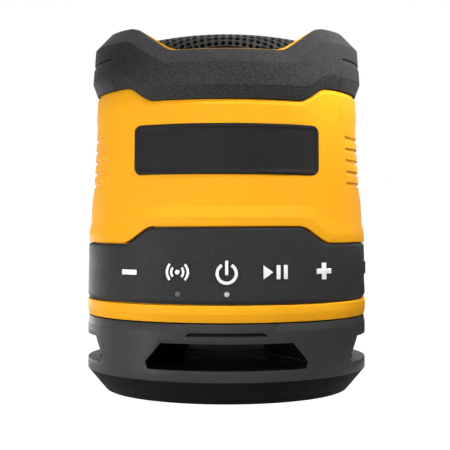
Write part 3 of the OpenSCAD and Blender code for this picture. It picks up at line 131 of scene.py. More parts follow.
def roundCorners(points, steps=3):  # points are (x, y, radius), closed; a radius of 0 keeps one point
    least, most = 0.02, 0.45  # shortest reach of a corner, and its longest share of a side
    out = []
    for i, (x, y, radius) in enumerate(points):
        here = Vector((x, y))
        if radius <= 0:
            out.append((x, y))
            continue
        before = Vector(points[i - 1][:2]) - here
        after = Vector(points[(i + 1) % len(points)][:2]) - here
        turn = pi - before.angle(after, pi)
        reach = max(least, min(radius * tan(turn / 2), most * before.length, most * after.length))
        start, end = here + before.normalized() * reach, here + after.normalized() * reach
        for k in range(steps + 1):
            t = k / steps
            p = start * (1 - t) ** 2 + here * 2 * t * (1 - t) + end * t * t
            out.append((p.x, p.y))
    return out


def roundedBox(w, h, r, steps=5):
    return roundCorners([(-w / 2, -h / 2, r), (w / 2, -h / 2, r), (w / 2, h / 2, r), (-w / 2, h / 2, r)], steps)


def gridFaces(rows, columns, closedRows, closedColumns, start=0):
    faces = []
    for i in range(rows if closedRows else rows - 1):
        a, b = start + i * columns, start + (i + 1) % rows * columns
        for j in range(columns if closedColumns else columns - 1):
            k = (j + 1) % columns
            faces.append((a + j, a + k, b + k, b + j))
    return faces


def capped(rings):  # a bar with closed ends, from its sections
    count, last = len(rings[0]), (len(rings) - 1) * len(rings[0])
    ends = [tuple(range(count)), tuple(range(last + count - 1, last - 1, -1))]
    return sum(rings, []), gridFaces(len(rings), count, False, True) + ends


def prism(outline, azimuth, midZ, r0, r1):  # a front view pushed out along the radius
    turn = Matrix.Rotation(radians(azimuth), 3, "Z")
    return capped([[turn @ Vector((x, -r, midZ + z)) for x, z in outline] for r in (r0, r1)])


def gather(shapes):  # several separate shapes as one list of points and faces
    verts, faces = [], []
    for v, f in shapes:
        faces += [tuple(i + len(verts) for i in face) for face in f]
        verts += [tuple(p) for p in v]
    return verts, faces


def makePiece(name, shape, lookNames, sharp=35.0, faceLooks=None):  # shape is points in mm and faces
    mesh = bpy.data.meshes.new(name)
    mesh.from_pydata([Vector(v) * mm for v in shape[0]], [], shape[1])
    if faceLooks:
        mesh.polygons.foreach_set("material_index", faceLooks)
    piece = bpy.data.objects.new(name, mesh)
    scene.collection.objects.link(piece)
    for look in lookNames:
        mesh.materials.append(finishes[look])
    cleanMesh(piece, sharp)
    return piece


def cleanMesh(piece, sharp, merge=0.002):
    bm = bmesh.new()
    bm.from_mesh(piece.data)
    bmesh.ops.remove_doubles(bm, verts=bm.verts, dist=merge * mm)
    bmesh.ops.dissolve_degenerate(bm, edges=bm.edges, dist=merge * mm)
    bmesh.ops.recalc_face_normals(bm, faces=bm.faces)
    bm.to_mesh(piece.data)
    bm.free()
    shadeMesh(piece, sharp)


def shadeMesh(piece, sharp):
    piece.data.polygons.foreach_set("use_smooth", [True] * len(piece.data.polygons))
    piece.data.set_sharp_from_angle(angle=radians(sharp))
    piece.data.update()


def settle(piece, sharp):  # turns the piece and its modifiers into a plain mesh
    bpy.context.view_layer.update()
    graph = bpy.context.evaluated_depsgraph_get()
    mesh = bpy.data.meshes.new_from_object(piece.evaluated_get(graph))
    piece.modifiers.clear()
    old = piece.data
    piece.data = mesh
    mesh.name = piece.name
    bpy.data.meshes.remove(old)
    shadeMesh(piece, sharp)


def cutAway(piece, shape, look, sharp):
    cutter = makePiece("cutter", shape, [look])
    cut = piece.modifiers.new("cut", "BOOLEAN")
    cut.operation = "DIFFERENCE"
    cut.solver = "MANIFOLD"
    cut.object = cutter
    settle(piece, sharp)
    bpy.data.objects.remove(cutter)
    cleanMesh(piece, sharp)


def addBevel(piece, width, angle, sharp):
    bevel = piece.modifiers.new("edges", "BEVEL")
    bevel.width = width * mm
    bevel.segments = 2
    bevel.limit_method = "ANGLE"
    bevel.angle_limit = radians(angle)
    bevel.miter_outer = "MITER_ARC"
    bevel.material = 0
    settle(piece, sharp)


def loft(name, azimuths, profile, look, sharp):  # a ring whose section, profile(a), may change on the way round
    rings = [[polar(r, a, z) for r, z in profile(a)] for a in azimuths]
    return makePiece(name, (sum(rings, []), gridFaces(len(rings), len(rings[0]), True, True)), [look], sharp)


def revolve(name, profile, look, steps, sharp):  # profile is (r, z, radius), closed
    outline = roundCorners(profile)
    return loft(name, [360 * i / steps for i in range(steps)], lambda a: outline, look, sharp)


def mount(piece, slotName, *nodes, rides=body):
    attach(piece, rides)
    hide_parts(*nodes)


# Shader groups

def wire(tree, node, inputs):  # each input is a socket to link from, or a plain value
    for key, value in inputs.items():
        if isinstance(value, bpy.types.NodeSocket):
            tree.links.new(value, node.inputs[key])
        else:
            node.inputs[key].default_value = value


def addNode(tree, kind, inputs=None, **values):
    node = tree.nodes.new(kind)
    for key, value in values.items():
        setattr(node, key, value)
    wire(tree, node, inputs or {})
    return node


def newGroup(name, sizeName, size, outputs):  # a group that takes a place and a size, both in metres
    group = bpy.data.node_groups.new(name, "ShaderNodeTree")
    group.interface.new_socket("Vector", in_out="INPUT", socket_type="NodeSocketVector")
    group.interface.new_socket(sizeName, in_out="INPUT", socket_type="NodeSocketFloat").default_value = size
    for output in outputs:
        group.interface.new_socket(output, in_out="OUTPUT", socket_type="NodeSocketFloat")
    source, sink = group.nodes.new("NodeGroupInput"), group.nodes.new("NodeGroupOutput")
    scale = addNode(group, "ShaderNodeMath", {0: 1.0, 1: source.outputs[sizeName]}, operation="DIVIDE")
    return group, sink, source.outputs["Vector"], scale.outputs[0]


def makeGrainGroup():  # fine moulded grain: pebbles of one size and a finer tooth
    group, sink, place, scale = newGroup("mouldedGrain", "Pebble Size", 0.0005, ("Height", "Speckle"))
    pebbles = addNode(group, "ShaderNodeTexVoronoi", {"Smoothness": 0.6, "Vector": place, "Scale": scale},
                      feature="SMOOTH_F1")
    tooth = addNode(group, "ShaderNodeTexNoise", {"Detail": 3.0, "Roughness": 0.62, "Vector": place, "Scale": scale})
    height = addNode(group, "ShaderNodeMath", {0: tooth.outputs["Fac"], 1: pebbles.outputs["Distance"]},
                     operation="SUBTRACT")
    speckle = addNode(group, "ShaderNodeMapRange",
                      {"From Min": 0.36, "From Max": 0.66, "Value": tooth.outputs["Fac"]})
    wire(group, sink, {"Height": height.outputs[0], "Speckle": speckle.outputs["Result"]})
    return group


def makeHandlingGroup():  # broad patches of handling and dust, and thin rub marks
    group, sink, place, scale = newGroup("handlingMarks", "Patch Size", 0.02, ("Patches", "Rubs"))
    patches = addNode(group, "ShaderNodeTexNoise", {"Detail": 2.0, "Vector": place, "Scale": scale})
    stretch = addNode(group, "ShaderNodeMapping", {"Scale": (420.0, 420.0, 300.0), "Vector": place})
    rubs = addNode(group, "ShaderNodeTexNoise", {"Scale": 1.0, "Detail": 4.0, "Vector": stretch.outputs["Vector"]})
    wire(group, sink, {"Patches": patches.outputs["Fac"], "Rubs": rubs.outputs["Fac"]})
    return group


grainGroup = makeGrainGroup()
handlingGroup = makeHandlingGroup()


def tint(shade):  # sRGB 0 to 255 as linear, with alpha
    shares = [c / 255 for c in shade]
    return (*(s / 12.92 if s <= 0.04045 else ((s + 0.055) / 1.055) ** 2.4 for s in shares), 1.0)


def makeFinish(name, dark, light, rough, pebble, depth, metallic=0.0, patch=20.0, specular=0.5, patchShare=0.35,
               coat=0.0):
    material = bpy.data.materials.new(name)
    material.use_nodes = True
    tree = material.node_tree
    place = addNode(tree, "ShaderNodeTexCoord").outputs["Object"]
    grain = addNode(tree, "ShaderNodeGroup", {"Pebble Size": pebble * mm, "Vector": place}, node_tree=grainGroup)
    marks = addNode(tree, "ShaderNodeGroup", {"Patch Size": patch * mm, "Vector": place}, node_tree=handlingGroup)
    blend = addNode(tree, "ShaderNodeMix", {"Factor": patchShare, "A": grain.outputs["Speckle"],
                                            "B": marks.outputs["Patches"]}, data_type="FLOAT")
    colour = addNode(tree, "ShaderNodeMix", {"A": tint(dark), "B": tint(light), "Factor": blend.outputs["Result"]},
                     data_type="RGBA")
    gloss = addNode(tree, "ShaderNodeMapRange", {"From Min": 0.3, "From Max": 0.7, "To Min": rough[0],
                                                 "To Max": rough[1], "Value": marks.outputs["Rubs"]})
    bump = addNode(tree, "ShaderNodeBump", {"Strength": 1.0, "Distance": depth * mm, "Height": grain.outputs["Height"]})
    wire(tree, tree.nodes["Principled BSDF"], {
        "Metallic": metallic, "Specular IOR Level": specular, "Coat Weight": coat,
        "Base Color": colour.outputs["Result"], "Roughness": gloss.outputs["Result"], "Normal": bump.outputs["Normal"]})
    return material


# Each look: dark and light end of the colour, both ends of the roughness, size and depth of the grain in mm, the rest
looks = {
    "yellowPlastic": ((250, 172, 30), (255, 182, 38), (0.46, 0.54), 0.25, 0.003,
                      {"patch": 24.0, "patchShare": 0.6, "specular": 0.05}),
    "bumperRubber": ((14, 14, 15), (76, 76, 77), (0.6, 0.72), 0.34, 0.03, {"specular": 0.14, "patchShare": 0.2}),
    "bandRubber": ((37, 37, 38), (60, 60, 61), (0.5, 0.58), 0.35, 0.012, {"specular": 0.08, "patchShare": 0.3}),
    # painted shade: near-black finish for the faces inside the vents and for the front and back mouths
    "ventBlack": ((5, 5, 5), (9, 9, 9), (0.8, 0.9), 0.4, 0.01, {"specular": 0.02}),
    "basePlastic": ((46, 46, 47), (65, 65, 66), (0.4, 0.48), 0.3, 0.005, {"specular": 0.1}),
    # the foot ring's own rubber, also used as painted shade on the base's slope and groove
    "footRubber": ((20, 20, 20), (32, 32, 33), (0.66, 0.8), 0.4, 0.015, {"specular": 0.04}),
    "plateBlack": ((28, 26, 28), (36, 34, 36), (0.5, 0.56), 0.4, 0.006, {"specular": 0.1}),
    "grilleMetal": ((42, 42, 41), (58, 58, 57), (0.46, 0.56), 0.4, 0.006, {"specular": 0.15}),
    "clothBlack": ((5, 5, 5), (14, 14, 14), (0.86, 0.95), 0.5, 0.05, {"specular": 0.03}),
    "keyWhite": ((250, 250, 250), (255, 255, 255), (0.42, 0.5), 0.3, 0.003, {"patchShare": 0.7}),
    "lightPipe": ((186, 186, 188), (206, 206, 208), (0.3, 0.4), 0.5, 0.003, {"specular": 0.2}),
    "dimPipe": ((90, 90, 92), (112, 112, 114), (0.3, 0.4), 0.5, 0.003, {"specular": 0.2}),
    "screwSteel": ((120, 121, 124), (186, 187, 190), (0.26, 0.42), 0.3, 0.004, {"metallic": 1.0}),
    "pressedSteel": ((70, 71, 74), (112, 113, 116), (0.34, 0.48), 0.4, 0.006, {"metallic": 1.0}),
    "brightSteel": ((160, 161, 164), (206, 207, 210), (0.2, 0.34), 0.3, 0.003, {"metallic": 1.0}),
    "ferrite": ((34, 34, 36), (64, 64, 66), (0.66, 0.8), 0.5, 0.02, {}),
    "sealFoam": ((22, 22, 22), (48, 48, 48), (0.86, 0.95), 0.5, 0.08, {"specular": 0.2}),
    "conePaper": ((20, 20, 21), (48, 48, 49), (0.74, 0.86), 0.6, 0.04, {"specular": 0.3}),
    "spiderCloth": ((150, 118, 66), (196, 164, 108), (0.84, 0.94), 0.5, 0.06, {"specular": 0.2}),
    "coilCopper": ((150, 78, 42), (206, 128, 82), (0.28, 0.4), 0.2, 0.01, {"metallic": 1.0}),
    "boardGreen": ((12, 62, 34), (22, 92, 52), (0.3, 0.42), 0.5, 0.006, {"coat": 0.3}),
    "chipBlack": ((20, 20, 21), (44, 44, 46), (0.5, 0.62), 0.3, 0.008, {}),
    "cellWrap": ((28, 74, 150), (46, 100, 180), (0.3, 0.4), 0.6, 0.004, {}),
    "wireRed": ((140, 14, 14), (190, 30, 28), (0.4, 0.52), 0.4, 0.006, {}),
    "ribbonAmber": ((176, 92, 20), (214, 128, 40), (0.24, 0.36), 0.6, 0.003, {"coat": 0.3}),
    "contactBrass": ((170, 130, 58), (212, 176, 98), (0.24, 0.38), 0.3, 0.004, {"metallic": 1.0}),
}
finishes = {name: makeFinish(name, *look[:-1], **look[-1]) for name, look in looks.items()}
print("speaker: finishes made")

# Top bumper

bumper = {
    "neckR": 40.55, "beltR": 44.3, "beltTopR": 43.55, "chamferH": 4.1, "dipTaper": 0.4, "crownH": 5.2,
    "dipCrown": 0.6, "crestSpan": 42.0, "creaseIn": 1.6, "creaseShare": 0.69, "split": 0.34, "lipR": 36.65,
    "neckZ": 103.2, "hemZ": 96.25, "padHalf": 36.0, "padInR": 42.4, "padTop": 106.25, "padCorner": 2.4, "padOut": 0.1,
    "padGap": 0.25, "padTopGap": 0.18, "padCornerGap": 0.2, "padBackGap": 0.15, "padEdge": 0.5, "padBevelH": 1.5,
    "padBevel": 0.55, "padParts": 44, "padEnds": (0.0, 0.06, 0.16, 0.3, 0.5, 0.8, 1.2, 1.7, 2.3), "step": 1.25,
    "fineReach": 2.7, "fineSteps": (-2.4, -1.2, -0.5, -0.14, 0.0, 0.1, 0.3, 0.6, 1.0, 1.5, 2.0, 2.5), "sharp": 28,
}


def bumperProfile(a):
    s, b = speaker, bumper
    side = sin(radians(foldAngle(a)))
    fall = s["crestFall"] * (90 - foldAngle(a)) / b["crestSpan"]
    top = s["dipZ"] + (s["wingZ"] - s["dipZ"] - fall) * wingRise(s["crownR"] * side)
    low = b["hemZ"] - s["hemDrop"] * (1 - hemRise(a))
    rise = wingRise(b["beltR"] * side - b["creaseIn"])
    creaseR = mix(b["beltR"] - b["dipTaper"], b["beltTopR"], rise)
    creaseZ = mix(s["dipZ"] - b["crownH"] + b["dipCrown"], s["wingZ"] - b["crownH"] - b["creaseShare"] * fall, rise)
    beltZ = low + b["chamferH"]
    inside = radians(foldAngle(a) - (90 - b["padHalf"])) * b["padInR"]
    if inside >= -1e-6:  # pocket of a pad, with rounded upper corners
        seat = b["padTop"] - roundIn(max(0.0, inside), b["padCorner"])
        sideR = mix(b["beltR"], creaseR, (seat - beltZ) / (creaseZ - beltZ))
        middle = [(b["padInR"], low, 0.15), (b["padInR"], seat, 0.2), (sideR, seat, 0.3)]
    else:
        middle = [(s["hemR"], low, 0.35), (b["beltR"], beltZ, 0.7),
                  (mix(b["beltR"], creaseR, b["split"]), mix(beltZ, creaseZ, b["split"]), 0.3)]
    return roundCorners([
        (b["neckR"], low, 0.15), *middle, (creaseR, creaseZ, 0.5), (s["crownR"], top, 0.3), (b["lipR"], top, 0.3),
        (b["lipR"], b["neckZ"], 0.15), (b["neckR"], b["neckZ"], 0.15)])


def bumperAzimuths():  # even columns, and finer ones at the ends of the pads
    azimuths = allRound(bumper["step"])
    for middle in (90, 270):
        for side in (-1, 1):
            edge = middle + side * bumper["padHalf"]
            azimuths = [a for a in azimuths if abs(a - edge) > bumper["fineReach"]]
            azimuths += [edge - side * d for d in bumper["fineSteps"]]
    return sorted(azimuths)


def padRing(a, d):  # section of a pad at distance d from its end
    b = bumper
    out = b["padOut"] - roundIn(d, b["padEdge"])
    top = b["padTop"] - b["padTopGap"] - roundIn(d, b["padCorner"] - b["padCornerGap"])
    low, beltZ, back = b["hemZ"], b["hemZ"] + b["chamferH"], b["padInR"] + b["padBackGap"]
    height = speaker["wingZ"] - b["crownH"] - beltZ
    bevelZ = top - b["padBevelH"]
    bevelR, topR = (mix(b["beltR"], b["beltTopR"], (z - beltZ) / height) for z in (bevelZ, top))
    section = roundCorners([
        (back, low, 0.1), (speaker["hemR"] + out, low, 0.3), (b["beltR"] + out, beltZ, 0.7),
        (bevelR + out, bevelZ, 0.5), (topR - b["padBevel"] + out - b["padOut"], top, 0.25), (back, top, 0.1)])
    return [polar(r, a, z) for r, z in section]


def makePads():
    half, parts = bumper["padHalf"] - bumper["padGap"], bumper["padParts"]
    ends = [(d, degrees(d / bumper["beltR"])) for d in bumper["padEnds"]]
    inner = half - ends[-1][1]
    shapes = []
    for middle in (90, 270):
        rings = [padRing(middle - half + turn, d) for d, turn in ends]
        rings += [padRing(middle - inner + 2 * inner * i / parts, half) for i in range(1, parts)]
        rings += [padRing(middle + half - turn, d) for d, turn in reversed(ends)]
        shapes.append(capped(rings))
    return makePiece("bumperPads", gather(shapes), ["bumperRubber"], bumper["sharp"])


topBumper = loft("topBumper", bumperAzimuths(), bumperProfile, "bumperRubber", bumper["sharp"])
mount(topBumper, "black_rubber", "top_bumper")
mount(makePads(), "black_rubber", "bumper_pads")
print("speaker: bumper and pads made")

# Yellow housing

housing = {
    "neckR": 40.4, "neckZ": 103.05, "lipR": 36.5, "lipInR": 34.9, "lipUp": 0.45, "lipShift": 1.4, "ledgeTop": 97.85,
    "ledgeR": 28.4, "ledgeZ": 94.85, "boreTop": 90.1, "sleeveZ": 25.4, "bevel": 1.6, "bevelIn": 0.75, "skirtIn": 0.05,
    "stepShifts": (0.3, 1.6, 3.3), "gripHalf": 30.0, "gripEdge": 0.3, "panelHalf": 37.0, "panelRun": 0.8,
    "panelDepth": 0.4, "panelLow": 61.1, "panelTop": 88.4, "panelRampLow": 4.0, "panelRampTop": 2.0, "grooveMid": 74.1,
    "grooveCount": 5, "groovePitch": 3.65, "grooveDepth": 0.5, "step": 1.5, "fineStep": 0.75,
    "fineSpans": ((0, 27.0, 37), (180, 24.0, 40)),  # middle, first azimuth from it, count
    "gripSteps": (37.3, 37.0, 36.75, 36.5, 30.3, 30.05, 29.8, 29.55, 29.3), "leastStep": 0.12,
    "cutR": (39.5, 44.1), "keyHole": (11.0, 9.6, 0.5), "pipeHole": 0.9, "socketHole": (9.4, 3.7, 1.8),
    "plateGap": 0.15, "plateSink": 0.75, "plateOut": 3.0, "sharp": 24,
}
grooveShape = [(-0.92, 0.0), (-0.72, 0.15), (-0.5, 0.8), (-0.36, 1.0), (0.46, 1.0), (0.56, 0.85), (0.64, 0.1),
               (0.74, 0.0)]


def gripRows():  # heights of the rows over the grip, each with its share of a groove's depth
    h = housing
    rows = [(h["panelLow"], 0.0), (h["panelLow"] + h["panelRampLow"], 0.0)]
    for i in range(h["grooveCount"]):
        z = h["grooveMid"] + (i - (h["grooveCount"] - 1) / 2) * h["groovePitch"]
        rows += [(z + dz, share) for dz, share in grooveShape]
    return rows + [(h["panelTop"] - h["panelRampTop"], 0.0), (h["panelTop"], 0.0)]


def gripCut(a, z, share):  # how far the grip lies under the body's face
    h, off = housing, 90 - foldAngle(a)
    panelA = clamp((h["panelHalf"] + h["gripEdge"] - off) / h["panelRun"])
    panelZ = clamp(min((z - h["panelLow"]) / h["panelRampLow"], (h["panelTop"] - z) / h["panelRampTop"]))
    grooveA = ease(h["gripHalf"] + h["gripEdge"] - off)
    return h["panelDepth"] * panelA * panelZ + h["grooveDepth"] * share * grooveA


def housingProfile(a):
    s, h = speaker, housing
    lowZ, facetZ, facetTop = (s[level] + stepRise(a, s["skirtR"], shift)
                              for level, shift in zip(("bodyZ", "facetZ", "facetTop"), h["stepShifts"]))
    shoulder = s["shoulderZ"] - s["hemDrop"] * (1 - hemRise(a))
    side = sin(radians(foldAngle(a)))
    lipTop, lipTopIn = (mix(s["dipZ"] + h["lipUp"], s["wingZ"] - s["crestFall"], wingRise(r * side + h["lipShift"]))
                        for r in (h["lipR"], h["lipInR"]))
    bevelZ = shoulder - h["bevel"]
    rows = [(bodyRadius(z) - gripCut(a, z, share), z, 0.0) for z, share in gripRows()]
    return roundCorners([
        (s["sleeveR"], lowZ, 0.0), (s["skirtR"], lowZ, 0.35), (s["skirtR"] - h["skirtIn"], facetZ, 0.3),
        (bodyRadius(facetTop), facetTop, 0.4), *rows, (bodyRadius(bevelZ), bevelZ, 0.15),
        (s["hemR"] - h["bevelIn"], shoulder, 0.2), (h["neckR"], shoulder, 0.0), (h["neckR"], h["neckZ"], 0.0),
        (h["lipR"], h["neckZ"], 0.0), (h["lipR"], lipTop, 0.25), (h["lipInR"], lipTopIn, 0.25),
        (h["lipInR"], h["ledgeTop"], 0.0), (h["ledgeR"], h["ledgeTop"], 0.0), (h["ledgeR"], h["ledgeZ"], 0.0),
        (s["boreR"], h["boreTop"], 0.0), (s["boreR"], h["sleeveZ"], 0.0), (s["sleeveR"], h["sleeveZ"], 0.0)])


def housingAzimuths():  # even columns, and finer ones over the steps, the ramps and the edges of the grips
    azimuths = allRound(housing["step"])
    for middle, start, count in housing["fineSpans"]:
        azimuths += [middle + s * (start + housing["fineStep"] * i) for s in (-1, 1) for i in range(count)]
    azimuths += [middle + side * off for middle in (90, 270) for side in (-1, 1) for off in housing["gripSteps"]]
    kept = []
    for a in sorted(set(round(a % 360, 3) for a in azimuths)):
        if not kept or a - kept[-1] > housing["leastStep"]:
            kept.append(a)
    return kept


def makeHousing():
    h, keyZ = housing, speaker["keyZ"]
    piece = loft("mainHousing", housingAzimuths(), housingProfile, "yellowPlastic", h["sharp"])
    holes = [prism(roundedBox(*h["keyHole"]), a, keyZ, *h["cutR"]) for a in keyAzimuths.values()]
    holes += [prism(circle(h["pipeHole"]), a, speaker["pipeZ"], *h["cutR"]) for a in pipeAzimuths]
    holes.append(prism(roundedBox(*h["socketHole"]), speaker["portA"], keyZ, *h["cutR"]))
    holes.append(plateShape(h["plateGap"], -h["plateSink"], lambda gap: h["plateOut"]))
    cutAway(piece, gather(holes), "yellowPlastic", h["sharp"])
    return piece


# Nameplate, left blank: a raised border round a plain field

nameplate = {"w": 56.0, "h": 15.0, "corner": 2.0, "midZ": 76.7, "out": 0.6, "sink": 0.6, "edge": 0.35, "border": 0.9,
             "field": 0.16, "fieldRun": 0.3, "columns": 60, "rows": 8, "sharp": 30}


def plateRows(half, edges, parts):  # positions across a plate, close together near its edges
    inner = half - edges[-1]
    return ([-half + d for d in edges] + [-inner + 2 * inner * i / parts for i in range(1, parts)]
            + [half - d for d in reversed(edges)])


def plateShape(grow, back, front):  # a curved plate on the body's taper; front(gap) is its offset near the outline
    n = nameplate
    w, h, corner = n["w"] / 2 + grow, n["h"] / 2 + grow, n["corner"] + grow
    edges = [0.0, 0.06, 0.18, n["edge"], n["border"], n["border"] + 0.12, n["border"] + n["fieldRun"], 2.0]
    columns, rows = plateRows(w, edges, n["columns"]), plateRows(1.0, [e / h for e in edges], n["rows"])
    verts = []
    for isBack in (False, True):
        for x in columns:
            reach = h - roundIn(w - abs(x), corner)
            for v in rows:
                z = n["midZ"] + v * reach
                gap = min(w - abs(x), (1 - abs(v)) * h)
                r = bodyRadius(z) + (back if isBack else front(gap))
                verts.append((x, -sqrt(r * r - x * x), z))
    count, high = len(columns), len(rows)
    whole = count * high
    faces = gridFaces(count, high, False, False) + gridFaces(count, high, False, False, whole)
    rim = ([i * high for i in range(count)] + [(count - 1) * high + j for j in range(1, high)]
           + [i * high + high - 1 for i in range(count - 2, -1, -1)] + [j for j in range(high - 2, 0, -1)])
    return verts, faces + [(p, q, q + whole, p + whole) for p, q in zip(rim, rim[1:] + rim[:1])]


def plateRelief(gap):
    edge = nameplate["out"] - roundIn(gap, nameplate["edge"])
    return edge - nameplate["field"] * clamp((gap - nameplate["border"]) / nameplate["fieldRun"])


mount(makeHousing(), "yellow_plastic", "main_housing")
plate = makePiece("nameplate", plateShape(0.0, -nameplate["sink"], plateRelief), ["plateBlack"], nameplate["sharp"])
mount(plate, "plate_black", "nameplate")
print("speaker: housing and nameplate made")

# Control band and its keys

band = {
    "lowH": 1.3, "lowIn": 0.65, "topH": 0.8, "topIn": 0.55, "rows": (33.0, 36.0, 39.0, 42.0, 45.0), "step": 1.0,
    "cutR": (42.0, 48.0), "pipeHole": 0.85, "window": (12.4, 6.6, 2.0), "windowR": (42.0, 46.0), "portHalf": 10.56,
    "portH": 10.4, "portT": 1.6, "portGapZ": 0.3, "portGapA": 0.35, "portGapR": 0.25, "portOutR": 49.0,
    "hingeA": 10.96, "hingeR": 45.1, "hingeBack": 0.5, "knuckleR": 1.0, "knuckleGap": 0.3, "knuckleEnd": 0.2,
    "barrelEnd": 0.4, "coverIn": 0.05, "coverEdges": (0.0, 0.06, 0.16, 0.32, 0.6), "coverParts": 20,
    "coverRounds": (0.35, 0.8, 0.1), "tabH": 2.1, "tabW": 3.3, "tabFrom": 0.75, "tabTo": 0.35, "tabOut": 0.4,
    "tabSink": 0.7, "tabRounds": (0.4, 0.7, 0.05), "tabParts": 12, "sharp": 30,  # rounds: face, corner, back
}
symbols = {
    "barW": 6.2, "barH": 1.6, "barDrop": 0.3, "crossH": 5.1, "crossW": 2.0, "crossRound": 0.12, "powerR": 3.3,
    "powerStroke": 0.95, "powerGap": 2.8, "powerBarH": 4.3, "powerBarUp": 1.7, "powerDrop": 0.35, "playH": 4.2,
    "playLeft": -3.95, "playTip": -0.95, "pauses": (0.75, 3.1), "pauseW": 1.3, "dotR": 0.75, "waves": (1.9, 3.3),
    "waveStroke": 0.8, "waveHalf": 45, "corner": 0.16, "bevel": 0.14, "out": 0.45, "gap": 0.18, "slices": 10,
    "sliceW": 0.45, "flange": (10.4, 9.0, 1.0), "flangeT": 1.5, "flangeGap": 0.15, "flangeIn": 0.35, "rootIn": 0.4,
    "stemR": 1.6, "stemLap": 0.2, "sharp": 30,
}


def boxOutline(x, z, w, h, r):
    return [(x + px, z + pz) for px, pz in roundedBox(w, h, r, 2)]


def arcOutline(radius, stroke, start, end, grow, steps=18):  # part of a ring, as a closed outline
    r0, r1 = radius - stroke / 2 - grow, radius + stroke / 2 + grow
    spread0, spread1 = degrees(grow / r0), degrees(grow / r1)
    out = []
    for r, t0, t1 in ((r1, start - spread1, end + spread1), (r0, end + spread0, start - spread0)):
        turns = [radians(mix(t0, t1, i / steps)) for i in range(steps + 1)]
        out += [(r * cos(t), r * sin(t)) for t in turns]
    return out


def keyOutlines(key, g):  # closed outlines of a key's symbol, grown by g
    s = symbols
    r = s["corner"] + g
    if key == "key_volume_down":
        return [boxOutline(0, -s["barDrop"], s["barW"] + 2 * g, s["barH"] + 2 * g, r)]
    if key == "key_volume_up":
        w, h, cw, ch = s["barW"] / 2 + g, s["barH"] / 2 + g, s["crossW"] / 2 + g, s["crossH"] / 2 + g
        corners = [(cw, -ch), (cw, -h), (w, -h), (w, h), (cw, h), (cw, ch), (-cw, ch), (-cw, h), (-w, h), (-w, -h),
                   (-cw, -h), (-cw, -ch)]
        return [roundCorners([(x, z, s["crossRound"]) for x, z in corners], 2)]
    if key == "key_power":
        middle = s["powerR"] - s["powerStroke"] / 2
        opening = degrees(asin(s["powerGap"] / 2 / middle))
        arc = arcOutline(middle, s["powerStroke"], 90 + opening, 450 - opening, g, 40)
        return [[(x, z - s["powerDrop"]) for x, z in arc],
                boxOutline(0, s["powerBarUp"] - s["powerDrop"], s["powerStroke"] + 2 * g, s["powerBarH"] + 2 * g, r)]
    if key == "key_play":
        left, tip, h = s["playLeft"] - g, s["playTip"] + 2 * g, s["playH"] / 2 + 2 * g
        triangle = roundCorners([(left, -h, 0.1), (tip, 0, 0.12), (left, h, 0.1)], 2)
        return [triangle] + [boxOutline(x, 0, s["pauseW"] + 2 * g, s["playH"] + 2 * g, r) for x in s["pauses"]]
    return [circle(s["dotR"] + g, 20)] + [
        arcOutline(radius, s["waveStroke"], side - s["waveHalf"], side + s["waveHalf"], g)
        for side in (0, 180) for radius in s["waves"]]


def bandProfile(a):
    s = speaker
    top = s["bandTop"] + stepRise(a, bandRadius(s["bandTop"]))
    rows = [(bandRadius(z), z, 0.0) for z in band["rows"]]
    return roundCorners([
        (s["bandInR"], s["bandZ"], 0.0), (s["baseR"] - band["lowIn"], s["bandZ"], 0.15),
        (s["baseR"], s["bandZ"] + band["lowH"], 0.3), *rows, (bandRadius(top), top - band["topH"], 0.3),
        (bandRadius(top) - band["topIn"], top, 0.2), (s["bandInR"], top, 0.0)], 4)


def sectorBlock(a0, a1, r0, r1, z0, z1, steps=16):
    corners = ((r0, z0), (r1, z0), (r1, z1), (r0, z1))
    return capped([[polar(r, mix(a0, a1, i / steps), z) for r, z in corners] for i in range(steps + 1)])


def hingePost(z0, z1, r, edge=0.0, steps=32):  # round post on the hinge's axis, with bevelled ends where edge is given
    x, y, _ = polar(band["hingeR"], speaker["portA"] + band["hingeA"], 0)
    levels = [(r - edge, z0), (r, z0 + edge), (r, z1 - edge), (r - edge, z1)] if edge else [(r, z0), (r, z1)]
    verts = [(x, y, z0), (x, y, z1)] + [(x + px, y + py, z) for rr, z in levels for px, py in circle(rr, steps)]
    faces = gridFaces(len(levels), steps, False, True, 2)
    top = 2 + (len(levels) - 1) * steps
    for i in range(steps):
        j = (i + 1) % steps
        faces += [(0, 2 + j, 2 + i), (1, top + i, top + j)]
    return verts, faces


def makeBand():
    b, keyZ, portA = band, speaker["keyZ"], speaker["portA"]
    piece = loft("controlBand", allRound(b["step"]), bandProfile, "bandRubber", b["sharp"])
    holes = [prism(outline, a, keyZ, *b["cutR"]) for key, a in keyAzimuths.items()
             for outline in keyOutlines(key, symbols["gap"])]
    holes += [prism(circle(b["pipeHole"]), a, speaker["pipeZ"], *b["cutR"]) for a in pipeAzimuths]
    half = b["portH"] / 2 + b["portGapZ"]
    z0, z1 = keyZ - half, keyZ + half
    floorR = bandRadius(keyZ) - b["portT"] - b["portGapR"]
    pocket = sectorBlock(portA - b["portHalf"] - b["portGapA"], portA + b["hingeA"], floorR, b["portOutR"], z0, z1)
    barrel = hingePost(z0 - b["barrelEnd"], z1 + b["barrelEnd"], b["knuckleR"] + b["knuckleGap"])
    window = prism(roundedBox(*b["window"]), portA, keyZ, *b["windowR"])
    for shape in (gather(holes), pocket, barrel, window):
        cutAway(piece, shape, "bandRubber", b["sharp"])
    return piece


